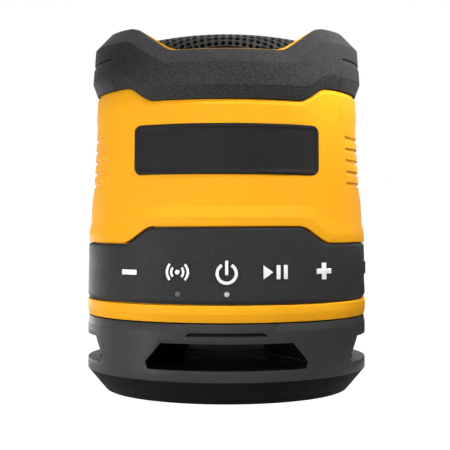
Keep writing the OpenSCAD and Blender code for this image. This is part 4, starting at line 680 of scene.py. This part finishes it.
def makeKey(node, azimuth):
    s, keyZ = symbols, speaker["keyZ"]
    front = bandRadius(keyZ) + s["out"]
    flangeR = speaker["bandInR"] - s["flangeGap"]
    depth = flangeR - s["flangeT"] + s["rootIn"] - front
    bm = bmesh.new()
    for outline in keyOutlines(node, 0.0):
        cap = bm.faces.new([bm.verts.new((x, 0.0, z)) for x, z in outline])
        cap.normal_update()
        if cap.normal.y > 0:
            cap.normal_flip()
        wall = bmesh.ops.extrude_face_region(bm, geom=[cap])
        moved = [g for g in wall["geom"] if isinstance(g, bmesh.types.BMVert)]
        bmesh.ops.translate(bm, verts=moved, vec=(0, depth, 0))
        for g in wall["geom"]:
            if isinstance(g, bmesh.types.BMFace):
                g.material_index = 2  # marks the symbol's front
    bmesh.ops.recalc_face_normals(bm, faces=bm.faces)
    for v in bm.verts:  # the marked face was moved back, so the depth is turned round
        v.co.y = depth - v.co.y
    bmesh.ops.recalc_face_normals(bm, faces=bm.faces)
    rims = [e for e in bm.edges if sum(f.material_index == 2 for f in e.link_faces) == 1]
    bmesh.ops.bevel(bm, geom=rims, offset=s["bevel"], segments=2, profile=0.5, affect="EDGES", material=1)
    for i in range(-s["slices"], s["slices"] + 1):
        whole = bm.verts[:] + bm.edges[:] + bm.faces[:]
        bmesh.ops.bisect_plane(bm, geom=whole, plane_co=(s["sliceW"] * i, 0, 0), plane_no=(1, 0, 0), dist=1e-5)
    turn = Matrix.Rotation(radians(azimuth), 3, "Z")
    for v in bm.verts:
        z = keyZ + v.co.z
        r = bandRadius(z) + s["out"] + v.co.y
        v.co = turn @ Vector((v.co.x, -sqrt(r * r - v.co.x ** 2), z))
    bm.verts.index_update()
    symbol = [tuple(v.co) for v in bm.verts], [tuple(v.index for v in f.verts) for f in bm.faces]
    marks = [0 if f.material_index in (1, 2) else 1 for f in bm.faces]
    bm.free()
    # flange and stem behind the band
    flange = prism(roundedBox(*s["flange"]), azimuth, keyZ, flangeR - s["flangeT"], flangeR - s["flangeIn"])
    stem = prism(circle(s["stemR"]), azimuth, keyZ, speaker["boreR"] + s["stemLap"],
                 flangeR - s["flangeT"] + s["stemLap"])
    marks += [1] * (len(flange[1]) + len(stem[1]))
    return makePiece(camelName(node), gather([symbol, flange, stem]), ["keyWhite", "bandRubber"], s["sharp"], marks)


def coverSection(a, back, front, reach, backEdge, frontEdge):
    low, high = speaker["keyZ"] - reach, speaker["keyZ"] + reach
    section = roundCorners([(back, low, backEdge), (front, low, frontEdge), (front, high, frontEdge),
                            (back, high, backEdge)])
    return [polar(r, a, z) for r, z in section]


def makePortCover():
    b, keyZ, portA = band, speaker["keyZ"], speaker["portA"]
    face = bandRadius(keyZ) - b["coverIn"]
    half, start, edges, parts = b["portH"] / 2, -b["portHalf"], b["coverEdges"], b["coverParts"]
    span = radians(b["hingeA"] - b["hingeBack"] - start) * face
    plain = span - 2 * edges[-1]
    across = [*edges, *(edges[-1] + plain * i / parts for i in range(1, parts)), *(span - d for d in reversed(edges))]
    columns = []
    edge, corner, backEdge = b["coverRounds"]
    for d in across:
        near = min(d, span - d)
        columns.append(coverSection(portA + start + degrees(d / face), face - b["portT"],
                                    face - roundIn(near, edge), half - roundIn(near, corner), backEdge, edge))
    # finger tab: a low rounded ridge
    ridge = []
    edge, corner, backEdge = b["tabRounds"]
    a0, a1 = -b["tabFrom"] * b["portHalf"], -b["tabTo"] * b["portHalf"]
    for i in range(b["tabParts"] + 1):
        t = i / b["tabParts"]
        lift = b["tabOut"] * sqrt(max(0.0, 1 - (2 * t - 1) ** 4))
        reach = b["tabH"] - roundIn(min(t, 1 - t) * b["tabW"], corner)
        ridge.append(coverSection(portA + mix(a0, a1, t), face - b["tabSink"], face + b["coverIn"] + lift, reach,
                                  backEdge, edge))
    end = b["knuckleEnd"]
    knuckle = hingePost(keyZ - half + end, keyZ + half - end, b["knuckleR"], end)
    return makePiece("portCover", gather([capped(columns), capped(ridge), knuckle]), ["bandRubber"], b["sharp"])


mount(makeBand(), "black_rubber", "control_band")
for node, azimuth in keyAzimuths.items():
    mount(makeKey(node, azimuth), "key_white", node, rides=node[len("key_"):] + "_key")
mount(makePortCover(), "black_rubber", "port_cover", rides="port_flap")
print("speaker: control band, keys and port cover made")

# Trim ring, base and foot

trim = {"inR": 43.7, "lowR": 45.85, "r": 46.18, "chamferH": 2.6, "lift": 0.12, "steps": 288, "sharp": 28}
ringLow, ringTop = speaker["ringZ"] + trim["lift"], speaker["ringTop"]
ring = revolve("lowerTrimRing", [
    (trim["inR"], ringLow, 0.0), (trim["lowR"], ringLow, 0.25), (trim["r"], speaker["ringZ"] + trim["chamferH"], 0.5),
    (trim["r"], ringTop, 0.5), (trim["inR"], ringTop, 0.0)], "yellowPlastic", trim["steps"], trim["sharp"])
mount(ring, "yellow_plastic", "lower_trim_ring")

base = {
    "levels": ((10.8, 47.6, 25.8), (12.9, 49.2, 26.8), (18.8, 39.7, 23.2)),  # height, width outside, at the throat
    "throatY": 17.0, "plenumR": 22.2, "openR": 27.5, "mouthR": 42.0, "wallR": (44.6, 42.0, 34.0, 27.5, 24.5),
    "wallZ": (11.6, 12.9, 14.4, 16.4, 18.0), "brimZ": 9.4, "topInR": 43.0, "belt": 2.6, "beltIn": 0.39,
    "panelHalf": 15.5, "panelRun": 0.5, "grooveZ": 20.9, "grooveH": 1.3, "grooveHalf": 12.3, "grooveEnd": 1.6,
    "grooveDepth": 0.9, "grooveRun": 0.22, "grooveWall": 0.08, "grooveTaper": 0.1, "grooveBelow": 0.6,
    "ventColumns": 40, "pillarColumns": 20, "flatColumns": 14, "edge": 0.3, "edgeAngle": 28.0, "coverR": 29.15,
    "coverZ": 3.7, "coverRim": 1.6, "footGap": 0.5, "sharp": 30,
}
foot = {"inR": 32.0, "inset": 0.06, "edge": 1.5, "flare": 0.8, "steps": 240, "sharp": 30}
footOut = (speaker["baseR"] - speaker["footR"]) / speaker["edgeZ"] * speaker["footTop"]  # run of the slope at the foot


def ventAngle(radius, z):  # half angle of a vent at a radius and a height
    low, high = base["levels"][:2] if z <= base["levels"][1][0] else base["levels"][1:]
    t = (z - low[0]) / (high[0] - low[0])
    wide, throat = mix(low[1], high[1], t) / 2, mix(low[2], high[2], t) / 2
    r = speaker["baseR"]
    outer = Vector((wide, sqrt(r * r - wide * wide)))
    way = Vector((throat, base["throatY"])) - outer
    near, far = 0.0, 1.2
    for _ in range(40):  # where the side line crosses the radius
        t = (near + far) / 2
        if (outer + way * t).length > radius:
            near = t
        else:
            far = t
    p = outer + way * near
    return degrees(atan2(p.x, p.y))


def baseColumns(alpha):  # azimuths of all columns where a vent's half angle is alpha
    out = []
    for s in range(4):
        out += [90 * s - alpha + 2 * alpha * i / base["ventColumns"] for i in range(base["ventColumns"])]
        out += [90 * s + alpha + (90 - 2 * alpha) * i / base["pillarColumns"] for i in range(base["pillarColumns"])]
    return out


def beltRow(z, edge, run, inDepth=0.0, outDepth=0.0):  # a row of the belt, cut back inside or outside the front's edges
    r, half, flat = speaker["baseR"], base["ventColumns"] // 2, base["flatColumns"]
    azimuths = baseColumns(ventAngle(r, speaker["ceilingZ"]))
    radii = [r - outDepth] * len(azimuths)
    last = half + base["pillarColumns"] // 2
    knots = [(0, 0.0), *((n, degrees(asin(x / r))) for n, x in ((flat, edge), (flat + 1, edge + run))),
             (last, 45.0)]
    for k in range(-last, last + 1):  # columns counted from the front's middle
        i = (half + k) % len(azimuths)
        (n0, a0), (n1, a1) = next(pair for pair in zip(knots, knots[1:]) if abs(k) <= pair[1][0])
        azimuths[i] = copysign(mix(a0, a1, (abs(k) - n0) / (n1 - n0)), k)
        if abs(k) <= flat:
            radii[i] = r - inDepth
    return [polar(rr, a, z) for rr, a in zip(radii, azimuths)]


def makeBase():
    s, b = speaker, base
    r, ventZ, ceilingZ, baseZ, footTop = (s[key] for key in ("baseR", "ventZ", "ceilingZ", "baseZ", "footTop"))
    per = b["ventColumns"] + b["pillarColumns"]
    total = 4 * per
    ventQuads = [q * per + i for q in range(4) for i in range(b["ventColumns"])]
    pillarQuads = [i for i in range(total) if i not in ventQuads]
    verts, faces = [], []

    def addRow(points):
        verts.extend(points)
        return list(range(len(verts) - len(points), len(verts)))

    def circleRow(radius, z, alpha):
        return addRow([polar(radius, a, z) for a in baseColumns(alpha)])

    def join(rowA, rowB, columns=range(total)):
        for i in columns:
            j = (i + 1) % total
            faces.append((rowA[i], rowA[j], rowB[j], rowB[i]))

    def joinAll(rows):
        for rowA, rowB in zip(rows, rows[1:]):
            join(rowA, rowB)

    def joinMouths(atSide):
        for r0, r1 in spans[:2]:
            join(wall[ventZ, r0], wall[ventZ, r1], [i for i in ventQuads if i // per % 2 == atSide])

    footEdge = s["footR"] + footOut
    rows = [circleRow(radius, z, ventAngle(r, ventZ)) for radius, z in (
        (b["coverR"] - b["coverRim"], b["coverZ"]), (b["coverR"], b["coverZ"]), (b["coverR"], footTop),
        (footEdge - b["footGap"], footTop), (footEdge, footTop), (r, s["edgeZ"]), (r, b["brimZ"]), (r, ventZ))]
    joinAll(rows)
    centre = len(verts)
    verts.append((0, 0, b["coverZ"]))
    faces.extend((centre, rows[0][(i + 1) % total], rows[0][i]) for i in range(total))
    plain = len(faces)
    # pillars between the vents
    levels = [ventZ, *b["wallZ"], ceilingZ]
    radii = [r, *b["wallR"], b["plenumR"]]
    spans = list(zip(radii, radii[1:]))
    wall = {(z, radius): circleRow(radius, z, ventAngle(radius, z)) for z in levels for radius in radii}
    for z0, z1 in zip(levels, levels[1:]):
        join(wall[z1, b["plenumR"]], wall[z0, b["plenumR"]], pillarQuads)
        for r0, r1 in spans:
            for q in range(4):
                for i in (q * per, q * per + b["ventColumns"]):
                    faces.append((wall[z0, r0][i], wall[z1, r0][i], wall[z1, r1][i], wall[z0, r1][i]))
    for r0, r1 in spans:
        if r0 <= b["mouthR"]:
            join(wall[ventZ, r0], wall[ventZ, r1], ventQuads)  # floor of the vents
        if r0 > b["openR"]:
            join(wall[ceilingZ, r1], wall[ceilingZ, r0], ventQuads)  # ceiling of the vents
        else:
            join(wall[ceilingZ, r0], wall[ceilingZ, r1], pillarQuads)  # top of a pillar's inner end
    middle = len(verts)
    verts.append((0, 0, ventZ))
    inner = wall[ventZ, b["plenumR"]]
    faces.extend((middle, inner[i], inner[(i + 1) % total]) for i in range(total))
    joinMouths(0)  # mouths at front and back, in the same painted shade as the inside
    # painted shade: the faces inside the vents, and the front and back mouths, take the near-black finish
    inside = set(range(plain, len(faces)))
    joinMouths(1)  # mouths of the side vents
    for z0, z1 in zip(levels, levels[1:]):
        join(wall[z0, r], wall[z1, r], pillarQuads)
    # belt with the front's groove and plain panel
    g0, g1 = b["grooveZ"], b["grooveZ"] + b["grooveH"]
    low, high, depth, run = b["grooveHalf"], b["grooveHalf"] - b["grooveEnd"], b["grooveDepth"], b["grooveRun"]
    beltRows = [wall[ceilingZ, r]] + [addRow(beltRow(*row)) for row in (
        (g0 - b["grooveBelow"], low, run), (g0, low, run), (g0 + b["grooveWall"], low - b["grooveTaper"], run, depth),
        (g1 - b["grooveWall"], high, run, depth), (g1, high, run),
        (baseZ - b["belt"], b["panelHalf"] - b["belt"], b["panelRun"]),
        (baseZ, b["panelHalf"], b["panelRun"], 0.0, b["beltIn"]))]
    joinAll(beltRows)
    # painted shade: the groove's sunk faces take the foot's dark rubber finish
    paintedShadeFaces = {i for i, f in enumerate(faces) if all(g0 <= verts[v][2] <= g1 for v in f)
            and min(hypot(*verts[v][:2]) for v in f) < r - depth / 2}
    topIn = circleRow(b["topInR"], baseZ, ventAngle(r, ceilingZ))
    openTop = circleRow(b["openR"], baseZ, ventAngle(b["openR"], ceilingZ))
    joinAll([beltRows[-1], topIn, openTop, wall[ceilingZ, b["openR"]]])
    paintedShadeFaces.update(range(4 * total, 5 * total))  # painted shade: the downward slope above the foot takes the foot's dark rubber finish
    marks = [1 if i in inside else 2 if i in paintedShadeFaces else 0 for i in range(len(faces))]
    piece = makePiece("ventedBase", (verts, faces), ["basePlastic", "ventBlack", "footRubber"], b["sharp"], marks)
    addBevel(piece, b["edge"], b["edgeAngle"], b["sharp"])
    return piece


mount(makeBase(), "black_plastic", "base", "base_belt")
footOutR = speaker["footR"] - foot["inset"]
footRing = revolve("footRing", [
    (foot["inR"] + foot["flare"], 0.0, 0.4), (footOutR, 0.0, foot["edge"]),
    (footOutR + footOut, speaker["footTop"], 0.2), (foot["inR"], speaker["footTop"], 0.1)],
    "footRubber", foot["steps"], foot["sharp"])
mount(footRing, "black_rubber", "foot_ring")
print("speaker: trim ring, base and foot made")

# Grille: a tree drapes pierced tiles over the dome

grille = {"pitch": 2.24, "hole": 1.72, "count": 40, "weld": 0.01, "r": 34.36, "edge": 7.0, "shoulder": 76.0,
          "rise": 10.4, "plain": 6.0, "lap": 10, "domeZ": 105.95, "skirtZ": 100.25, "sheet": 0.6, "rimOut": 0.04,
          "rimIn": 0.1, "clothIn": 0.15, "clothT": 0.2, "clothEnd": 8, "rimSteps": 180, "clothSteps": 120, "sharp": 40}


def makeTile():  # square with a round hole, twelve faces
    half, r = grille["pitch"] / 2, grille["hole"] / 2
    square = [(-1, -1), (-1 / 3, -1), (1 / 3, -1), (1, -1), (1, -1 / 3), (1, 1 / 3), (1, 1), (1 / 3, 1), (-1 / 3, 1),
              (-1, 1), (-1, 1 / 3), (-1, -1 / 3)]
    turns = [radians(225 + 30 * i) for i in range(12)]
    verts = [(x * half, y * half, 0.0) for x, y in square] + [(r * cos(t), r * sin(t), 0.0) for t in turns]
    mesh = bpy.data.meshes.new("grilleTile")
    mesh.from_pydata([Vector(v) * mm for v in verts], [], gridFaces(2, 12, False, True))
    tile = bpy.data.objects.new("grilleTile", mesh)
    scene.collection.objects.link(tile)
    return tile


def makeGrilleTree():  # lays a flat grid of tiles over a flat crown and a round shoulder, by arc length
    tree = bpy.data.node_groups.new("piercedDome", "GeometryNodeTree")
    for name, kind in (("Tile", "Object"), ("Pitch", "Float"), ("Count", "Int"), ("Reach", "Float"),
                       ("Crown Radius", "Float"), ("Crown Length", "Float"), ("Shoulder Radius", "Float"),
                       ("Shoulder Angle", "Float"), ("Apex Height", "Float"), ("Finish", "Material")):
        tree.interface.new_socket(name, in_out="INPUT", socket_type="NodeSocket" + kind)
    tree.interface.new_socket("Geometry", in_out="OUTPUT", socket_type="NodeSocketGeometry")
    value, sink = tree.nodes.new("NodeGroupInput").outputs, tree.nodes.new("NodeGroupOutput")
    crown, crownLength, edge, angle = (value[name] for name in (
        "Crown Radius", "Crown Length", "Shoulder Radius", "Shoulder Angle"))

    def calc(operation, *terms):
        return addNode(tree, "ShaderNodeMath", dict(enumerate(terms)), operation=operation).outputs[0]

    def fromAxis():  # a point's x and y, and its distance from the axis
        place = addNode(tree, "GeometryNodeInputPosition").outputs[0]
        x, y, _ = addNode(tree, "ShaderNodeSeparateXYZ", {0: place}).outputs
        return x, y, calc("SQRT", calc("ADD", calc("MULTIPLY", x, x), calc("MULTIPLY", y, y)))

    def chain(kind, geometry, inputs=None, **values):
        return addNode(tree, kind, {0: geometry, **(inputs or {})}, **values).outputs[0]

    side = calc("MULTIPLY", value["Pitch"], calc("SUBTRACT", value["Count"], 1))
    grid = addNode(tree, "GeometryNodeMeshGrid", {"Size X": side, "Size Y": side, "Vertices X": value["Count"],
                                                  "Vertices Y": value["Count"]})
    points = chain("GeometryNodeMeshToPoints", grid.outputs["Mesh"])
    outside = calc("GREATER_THAN", fromAxis()[2], value["Reach"])
    points = chain("GeometryNodeDeleteGeometry", points, {"Selection": outside}, domain="POINT")
    tile = addNode(tree, "GeometryNodeObjectInfo", {"Object": value["Tile"]}).outputs["Geometry"]
    sheet = chain("GeometryNodeRealizeInstances", chain("GeometryNodeInstanceOnPoints", points, {"Instance": tile}))
    sheet = chain("GeometryNodeMergeByDistance", sheet, {"Distance": grille["weld"] * mm})
    x, y, far = fromAxis()
    crownTurn = calc("DIVIDE", calc("MINIMUM", far, crownLength), crown)
    past = calc("MAXIMUM", calc("SUBTRACT", far, crownLength), 0.0)
    bend = calc("MAXIMUM", calc("SUBTRACT", angle, calc("DIVIDE", past, edge)), 0.0)
    out = calc("SUBTRACT", calc("COSINE", bend), calc("COSINE", angle))
    down = calc("SUBTRACT", calc("SINE", angle), calc("SINE", bend))
    radius = calc("ADD", calc("MULTIPLY", crown, calc("SINE", crownTurn)), calc("MULTIPLY", edge, out))
    sag = calc("ADD", calc("MULTIPLY", crown, calc("SUBTRACT", 1.0, calc("COSINE", crownTurn))),
               calc("MULTIPLY", edge, down))
    share = calc("DIVIDE", radius, calc("MAXIMUM", far, 0.000001))
    place = addNode(tree, "ShaderNodeCombineXYZ", {0: calc("MULTIPLY", x, share), 1: calc("MULTIPLY", y, share),
                                                   2: calc("SUBTRACT", value["Apex Height"], sag)})
    drape = chain("GeometryNodeSetPosition", sheet, {"Position": place.outputs[0]})
    whole = chain("GeometryNodeRealizeInstances", drape)
    wire(tree, sink, {0: chain("GeometryNodeSetMaterial", whole, {"Material": value["Finish"]})})
    return tree


def crownShape():  # the shoulder's angle, and the radius of the crown that meets it there
    turn = radians(grille["shoulder"])
    return turn, (grille["r"] - grille["edge"] * (1 - cos(turn))) / cos(turn)


def makeGrille():
    tile, tree = makeTile(), makeGrilleTree()
    piece = bpy.data.objects.new("speakerGrille", bpy.data.meshes.new("speakerGrille"))
    scene.collection.objects.link(piece)
    piece.data.materials.append(finishes["grilleMetal"])
    turn, crown = crownShape()
    length = crown * (pi / 2 - turn)
    reach = length + grille["edge"] * (turn - radians(grille["plain"])) - grille["pitch"] / 2
    values = {"Tile": tile, "Pitch": grille["pitch"] * mm, "Count": grille["count"], "Reach": reach * mm,
              "Crown Radius": crown * mm, "Crown Length": length * mm, "Shoulder Radius": grille["edge"] * mm,
              "Shoulder Angle": turn, "Apex Height": (grille["domeZ"] + grille["rise"]) * mm,
              "Finish": finishes["grilleMetal"]}
    nodes = piece.modifiers.new("pierced", "NODES")
    nodes.node_group = tree
    for item in tree.interface.items_tree:
        if item.in_out == "INPUT":
            nodes[item.identifier] = values[item.name]
    wall = piece.modifiers.new("sheet", "SOLIDIFY")
    wall.thickness = grille["sheet"] * mm
    wall.offset = -1.0
    settle(piece, grille["sharp"])
    bpy.data.objects.remove(tile)
    return piece


def makeGrilleRim():  # plain border and skirt of the dome
    g, border = grille, grille["plain"] + grille["lap"]
    middle, inner = g["r"] - g["edge"], g["edge"] - g["sheet"] - g["rimIn"]
    angles = [radians(border - border * i / 8) for i in range(9)]
    profile = [(middle + (g["edge"] + g["rimOut"]) * cos(t), g["domeZ"] + g["edge"] * sin(t), 0.0)
               for t in angles]
    profile += [(g["r"], g["skirtZ"], 0.1), (g["r"] - g["sheet"], g["skirtZ"], 0.1)]
    profile += [(middle + inner * cos(t), g["domeZ"] + inner * sin(t), 0.0) for t in reversed(angles)]
    return revolve("grilleRim", profile, "grilleMetal", g["rimSteps"], g["sharp"])


def makeGrilleCloth():  # dust cloth close behind the holes
    g, middle = grille, grille["r"] - grille["edge"]
    turn, crown = crownShape()
    centre = g["domeZ"] + g["rise"] - crown
    rise = [(pi / 2 - turn) * i / 16 for i in range(16)]
    fall = [mix(turn, radians(g["clothEnd"]), i / 14) for i in range(15)]

    def layer(inset):
        r, edge = crown - inset, g["edge"] - inset
        return ([(r * sin(t), centre + r * cos(t), 0.0) for t in rise]
                + [(middle + edge * cos(t), g["domeZ"] + edge * sin(t), 0.0) for t in fall])
    inset = g["sheet"] + g["clothIn"]
    profile = layer(inset) + layer(inset + g["clothT"])[::-1]
    return revolve("grilleCloth", profile, "clothBlack", g["clothSteps"], g["sharp"])


mount(makeGrille(), "grille_metal", "speaker_grille")
mount(makeGrilleCloth(), "seal_foam", "speaker_grille")
mount(makeGrilleRim(), "grille_metal", "speaker_grille")
print("speaker: grille made")

# Driver's spider: waved cloth whose inner edge dips, so that the cone has room at its lowest

spider = {"inR": 10.85, "outR": 18.4, "z": 90.4, "wave": 0.25, "waves": 3, "cloth": 0.3, "dipR": 12.7, "dip": 0.56,
          "parts": 60, "steps": 160, "sharp": 50}


def makeSpider():
    s, top = spider, []
    for i in range(s["parts"] + 1):
        r = mix(s["inR"], s["outR"], i / s["parts"])
        z = s["z"] + s["wave"] * cos(2 * pi * s["waves"] * i / s["parts"])
        top.append((r, z - s["dip"] * max(0.0, s["dipR"] - r), 0.0))
    under = [(r, z - s["cloth"], 0.0) for r, z, _ in reversed(top)]
    return revolve("driverSpider", top + under, "spiderCloth", s["steps"], s["sharp"])


mount(makeSpider(), "spider_cloth", "driver_spider")
print("speaker: spider made")

# Finishes of the CAD nodes that stay: a look has its slot's name, with these exceptions

slotLooks = {"black_rubber": "bandRubber", "black_plastic": "basePlastic"}
nodeLooks = {"pair_light_pipe": "dimPipe"}
for part in frame["record"]["subparts"]:
    slotName = part["material_slot"]
    nodeLooks.setdefault(part["node"], slotLooks.get(slotName, camelName(slotName)))
for name, node in frame["nodes"].items():
    if not node.hide_render:
        for place in node.material_slots:
            place.material = finishes[nodeLooks[name]]
print("speaker: CAD nodes finished")

# Floor, light and camera, in metres

studio = {
    "world": 0.24, "floorGlow": 0.96, "floorShade": 0.12, "floorSeen": 0.35, "floorHalf": 3, "floorZ": -0.00002,
    "camera": (-0.0005, -0.371, 0.054), "lens": 88.3, "sensor": 36.0,
    "cards": {  # place, target, size
        "rightCard": ((0.1, 0.015, 0.024), (0, 0, 0.024), (0.28, 0.05)),
        "leftCard": ((-0.17, -0.04, 0.125), (0, 0, 0.115), (0.3, 0.1)),
    },
    "lamps": {  # place, target, size, power and spread
        "frontBox": ((-0.17, -0.6, 0.3), (0, 0, 0.05), (0.26, 0.26), 1.62, 180),
        "topBox": ((0.2, -0.25, 0.55), (0, 0, 0.1), (0.2, 0.2), 1.3, 180),
        "rightBox": ((0.36, -0.2, 0.36), (0.035, -0.02, 0.06), (0.15, 0.1), 0.034, 20),
        "leftBox": ((-0.41, -0.22, 0.03), (-0.02, -0.02, 0.03), (0.15, 0.03), 1.1, 180),
        "rimBox": ((-0.193, 0.23, 0.025), (-0.045, 0, 0.02), (0.2, 0.05), 0.18, 180),
        "bumperBox": ((0.17, -0.1, 0.22), (0.036, -0.02, 0.113), (0.03, 0.03), 0.0065, 18),
    },
}


def makeSheet(name, w, h, z, material):
    mesh = bpy.data.meshes.new(name)
    mesh.from_pydata([(-w, -h, z), (w, -h, z), (w, h, z), (-w, h, z)], [], [(0, 1, 2, 3)])
    mesh.materials.append(material)
    return bpy.data.objects.new(name, mesh)


def clearTree(owner):
    owner.use_nodes = True
    owner.node_tree.nodes.clear()
    return owner.node_tree


def showApart(tree, outKind, plain, seen):  # camera, glossy and transmission rays meet seen, all others plain
    rays = addNode(tree, "ShaderNodeLightPath").outputs
    total = rays["Is Camera Ray"]
    for name in ("Is Glossy Ray", "Is Transmission Ray"):
        total = addNode(tree, "ShaderNodeMath", {0: total, 1: rays[name]}, operation="MAXIMUM").outputs[0]
    choose = addNode(tree, "ShaderNodeMixShader", {0: total, 1: plain.outputs[0], 2: seen.outputs[0]})
    addNode(tree, outKind, {"Surface": choose.outputs[0]})


def makeFloor():
    material = bpy.data.materials.new("paleFloor")
    tree = clearTree(material)
    plain, pale = (addNode(tree, "ShaderNodeBsdfDiffuse", {"Color": (*[studio[shade]] * 3, 1)})
                   for shade in ("floorShade", "floorSeen"))
    glow = addNode(tree, "ShaderNodeEmission", {"Strength": studio["floorGlow"]})
    both = addNode(tree, "ShaderNodeAddShader", {0: pale.outputs[0], 1: glow.outputs[0]})
    showApart(tree, "ShaderNodeOutputMaterial", plain, both)
    floor = makeSheet("floor", studio["floorHalf"], studio["floorHalf"], studio["floorZ"], material)
    scene.collection.objects.link(floor)


def makeWorld():
    scene.world = bpy.data.worlds.new("studio")
    tree = clearTree(scene.world)
    soft, white = (addNode(tree, "ShaderNodeBackground", {"Color": (1, 1, 1, 1), "Strength": strength})
                   for strength in (studio["world"], 1.0))
    showApart(tree, "ShaderNodeOutputWorld", soft, white)


def aimAt(item, place, target):
    item.location = place
    item.rotation_euler = (Vector(target) - Vector(place)).to_track_quat("-Z", "Y").to_euler()
    item.visible_camera = False
    scene.collection.objects.link(item)


def addSoftBox(name, place, target, size, power, spread):
    lamp = bpy.data.lights.new(name, "AREA")
    lamp.shape = "RECTANGLE"
    lamp.size, lamp.size_y = size
    lamp.energy = power
    lamp.spread = radians(spread)
    aimAt(bpy.data.objects.new(name, lamp), place, target)


def addDarkCard(name, place, target, size):  # a felt card beside the object, outside the picture
    card = makeSheet(name, size[0] / 2, size[1] / 2, 0, finishes["sealFoam"])
    aimAt(card, place, target)


def makeCamera():
    lens = bpy.data.cameras.new("photoView")
    lens.lens = studio["lens"]
    lens.sensor_width = studio["sensor"]
    camera = bpy.data.objects.new("photoView", lens)
    camera.location = studio["camera"]
    camera.rotation_euler = (pi / 2, 0, 0)
    scene.collection.objects.link(camera)
    scene.camera = camera


makeFloor()
makeWorld()
for name, card in studio["cards"].items():
    addDarkCard(name, *card)
for name, lamp in studio["lamps"].items():
    addSoftBox(name, *lamp)
makeCamera()
print("speaker: studio made")
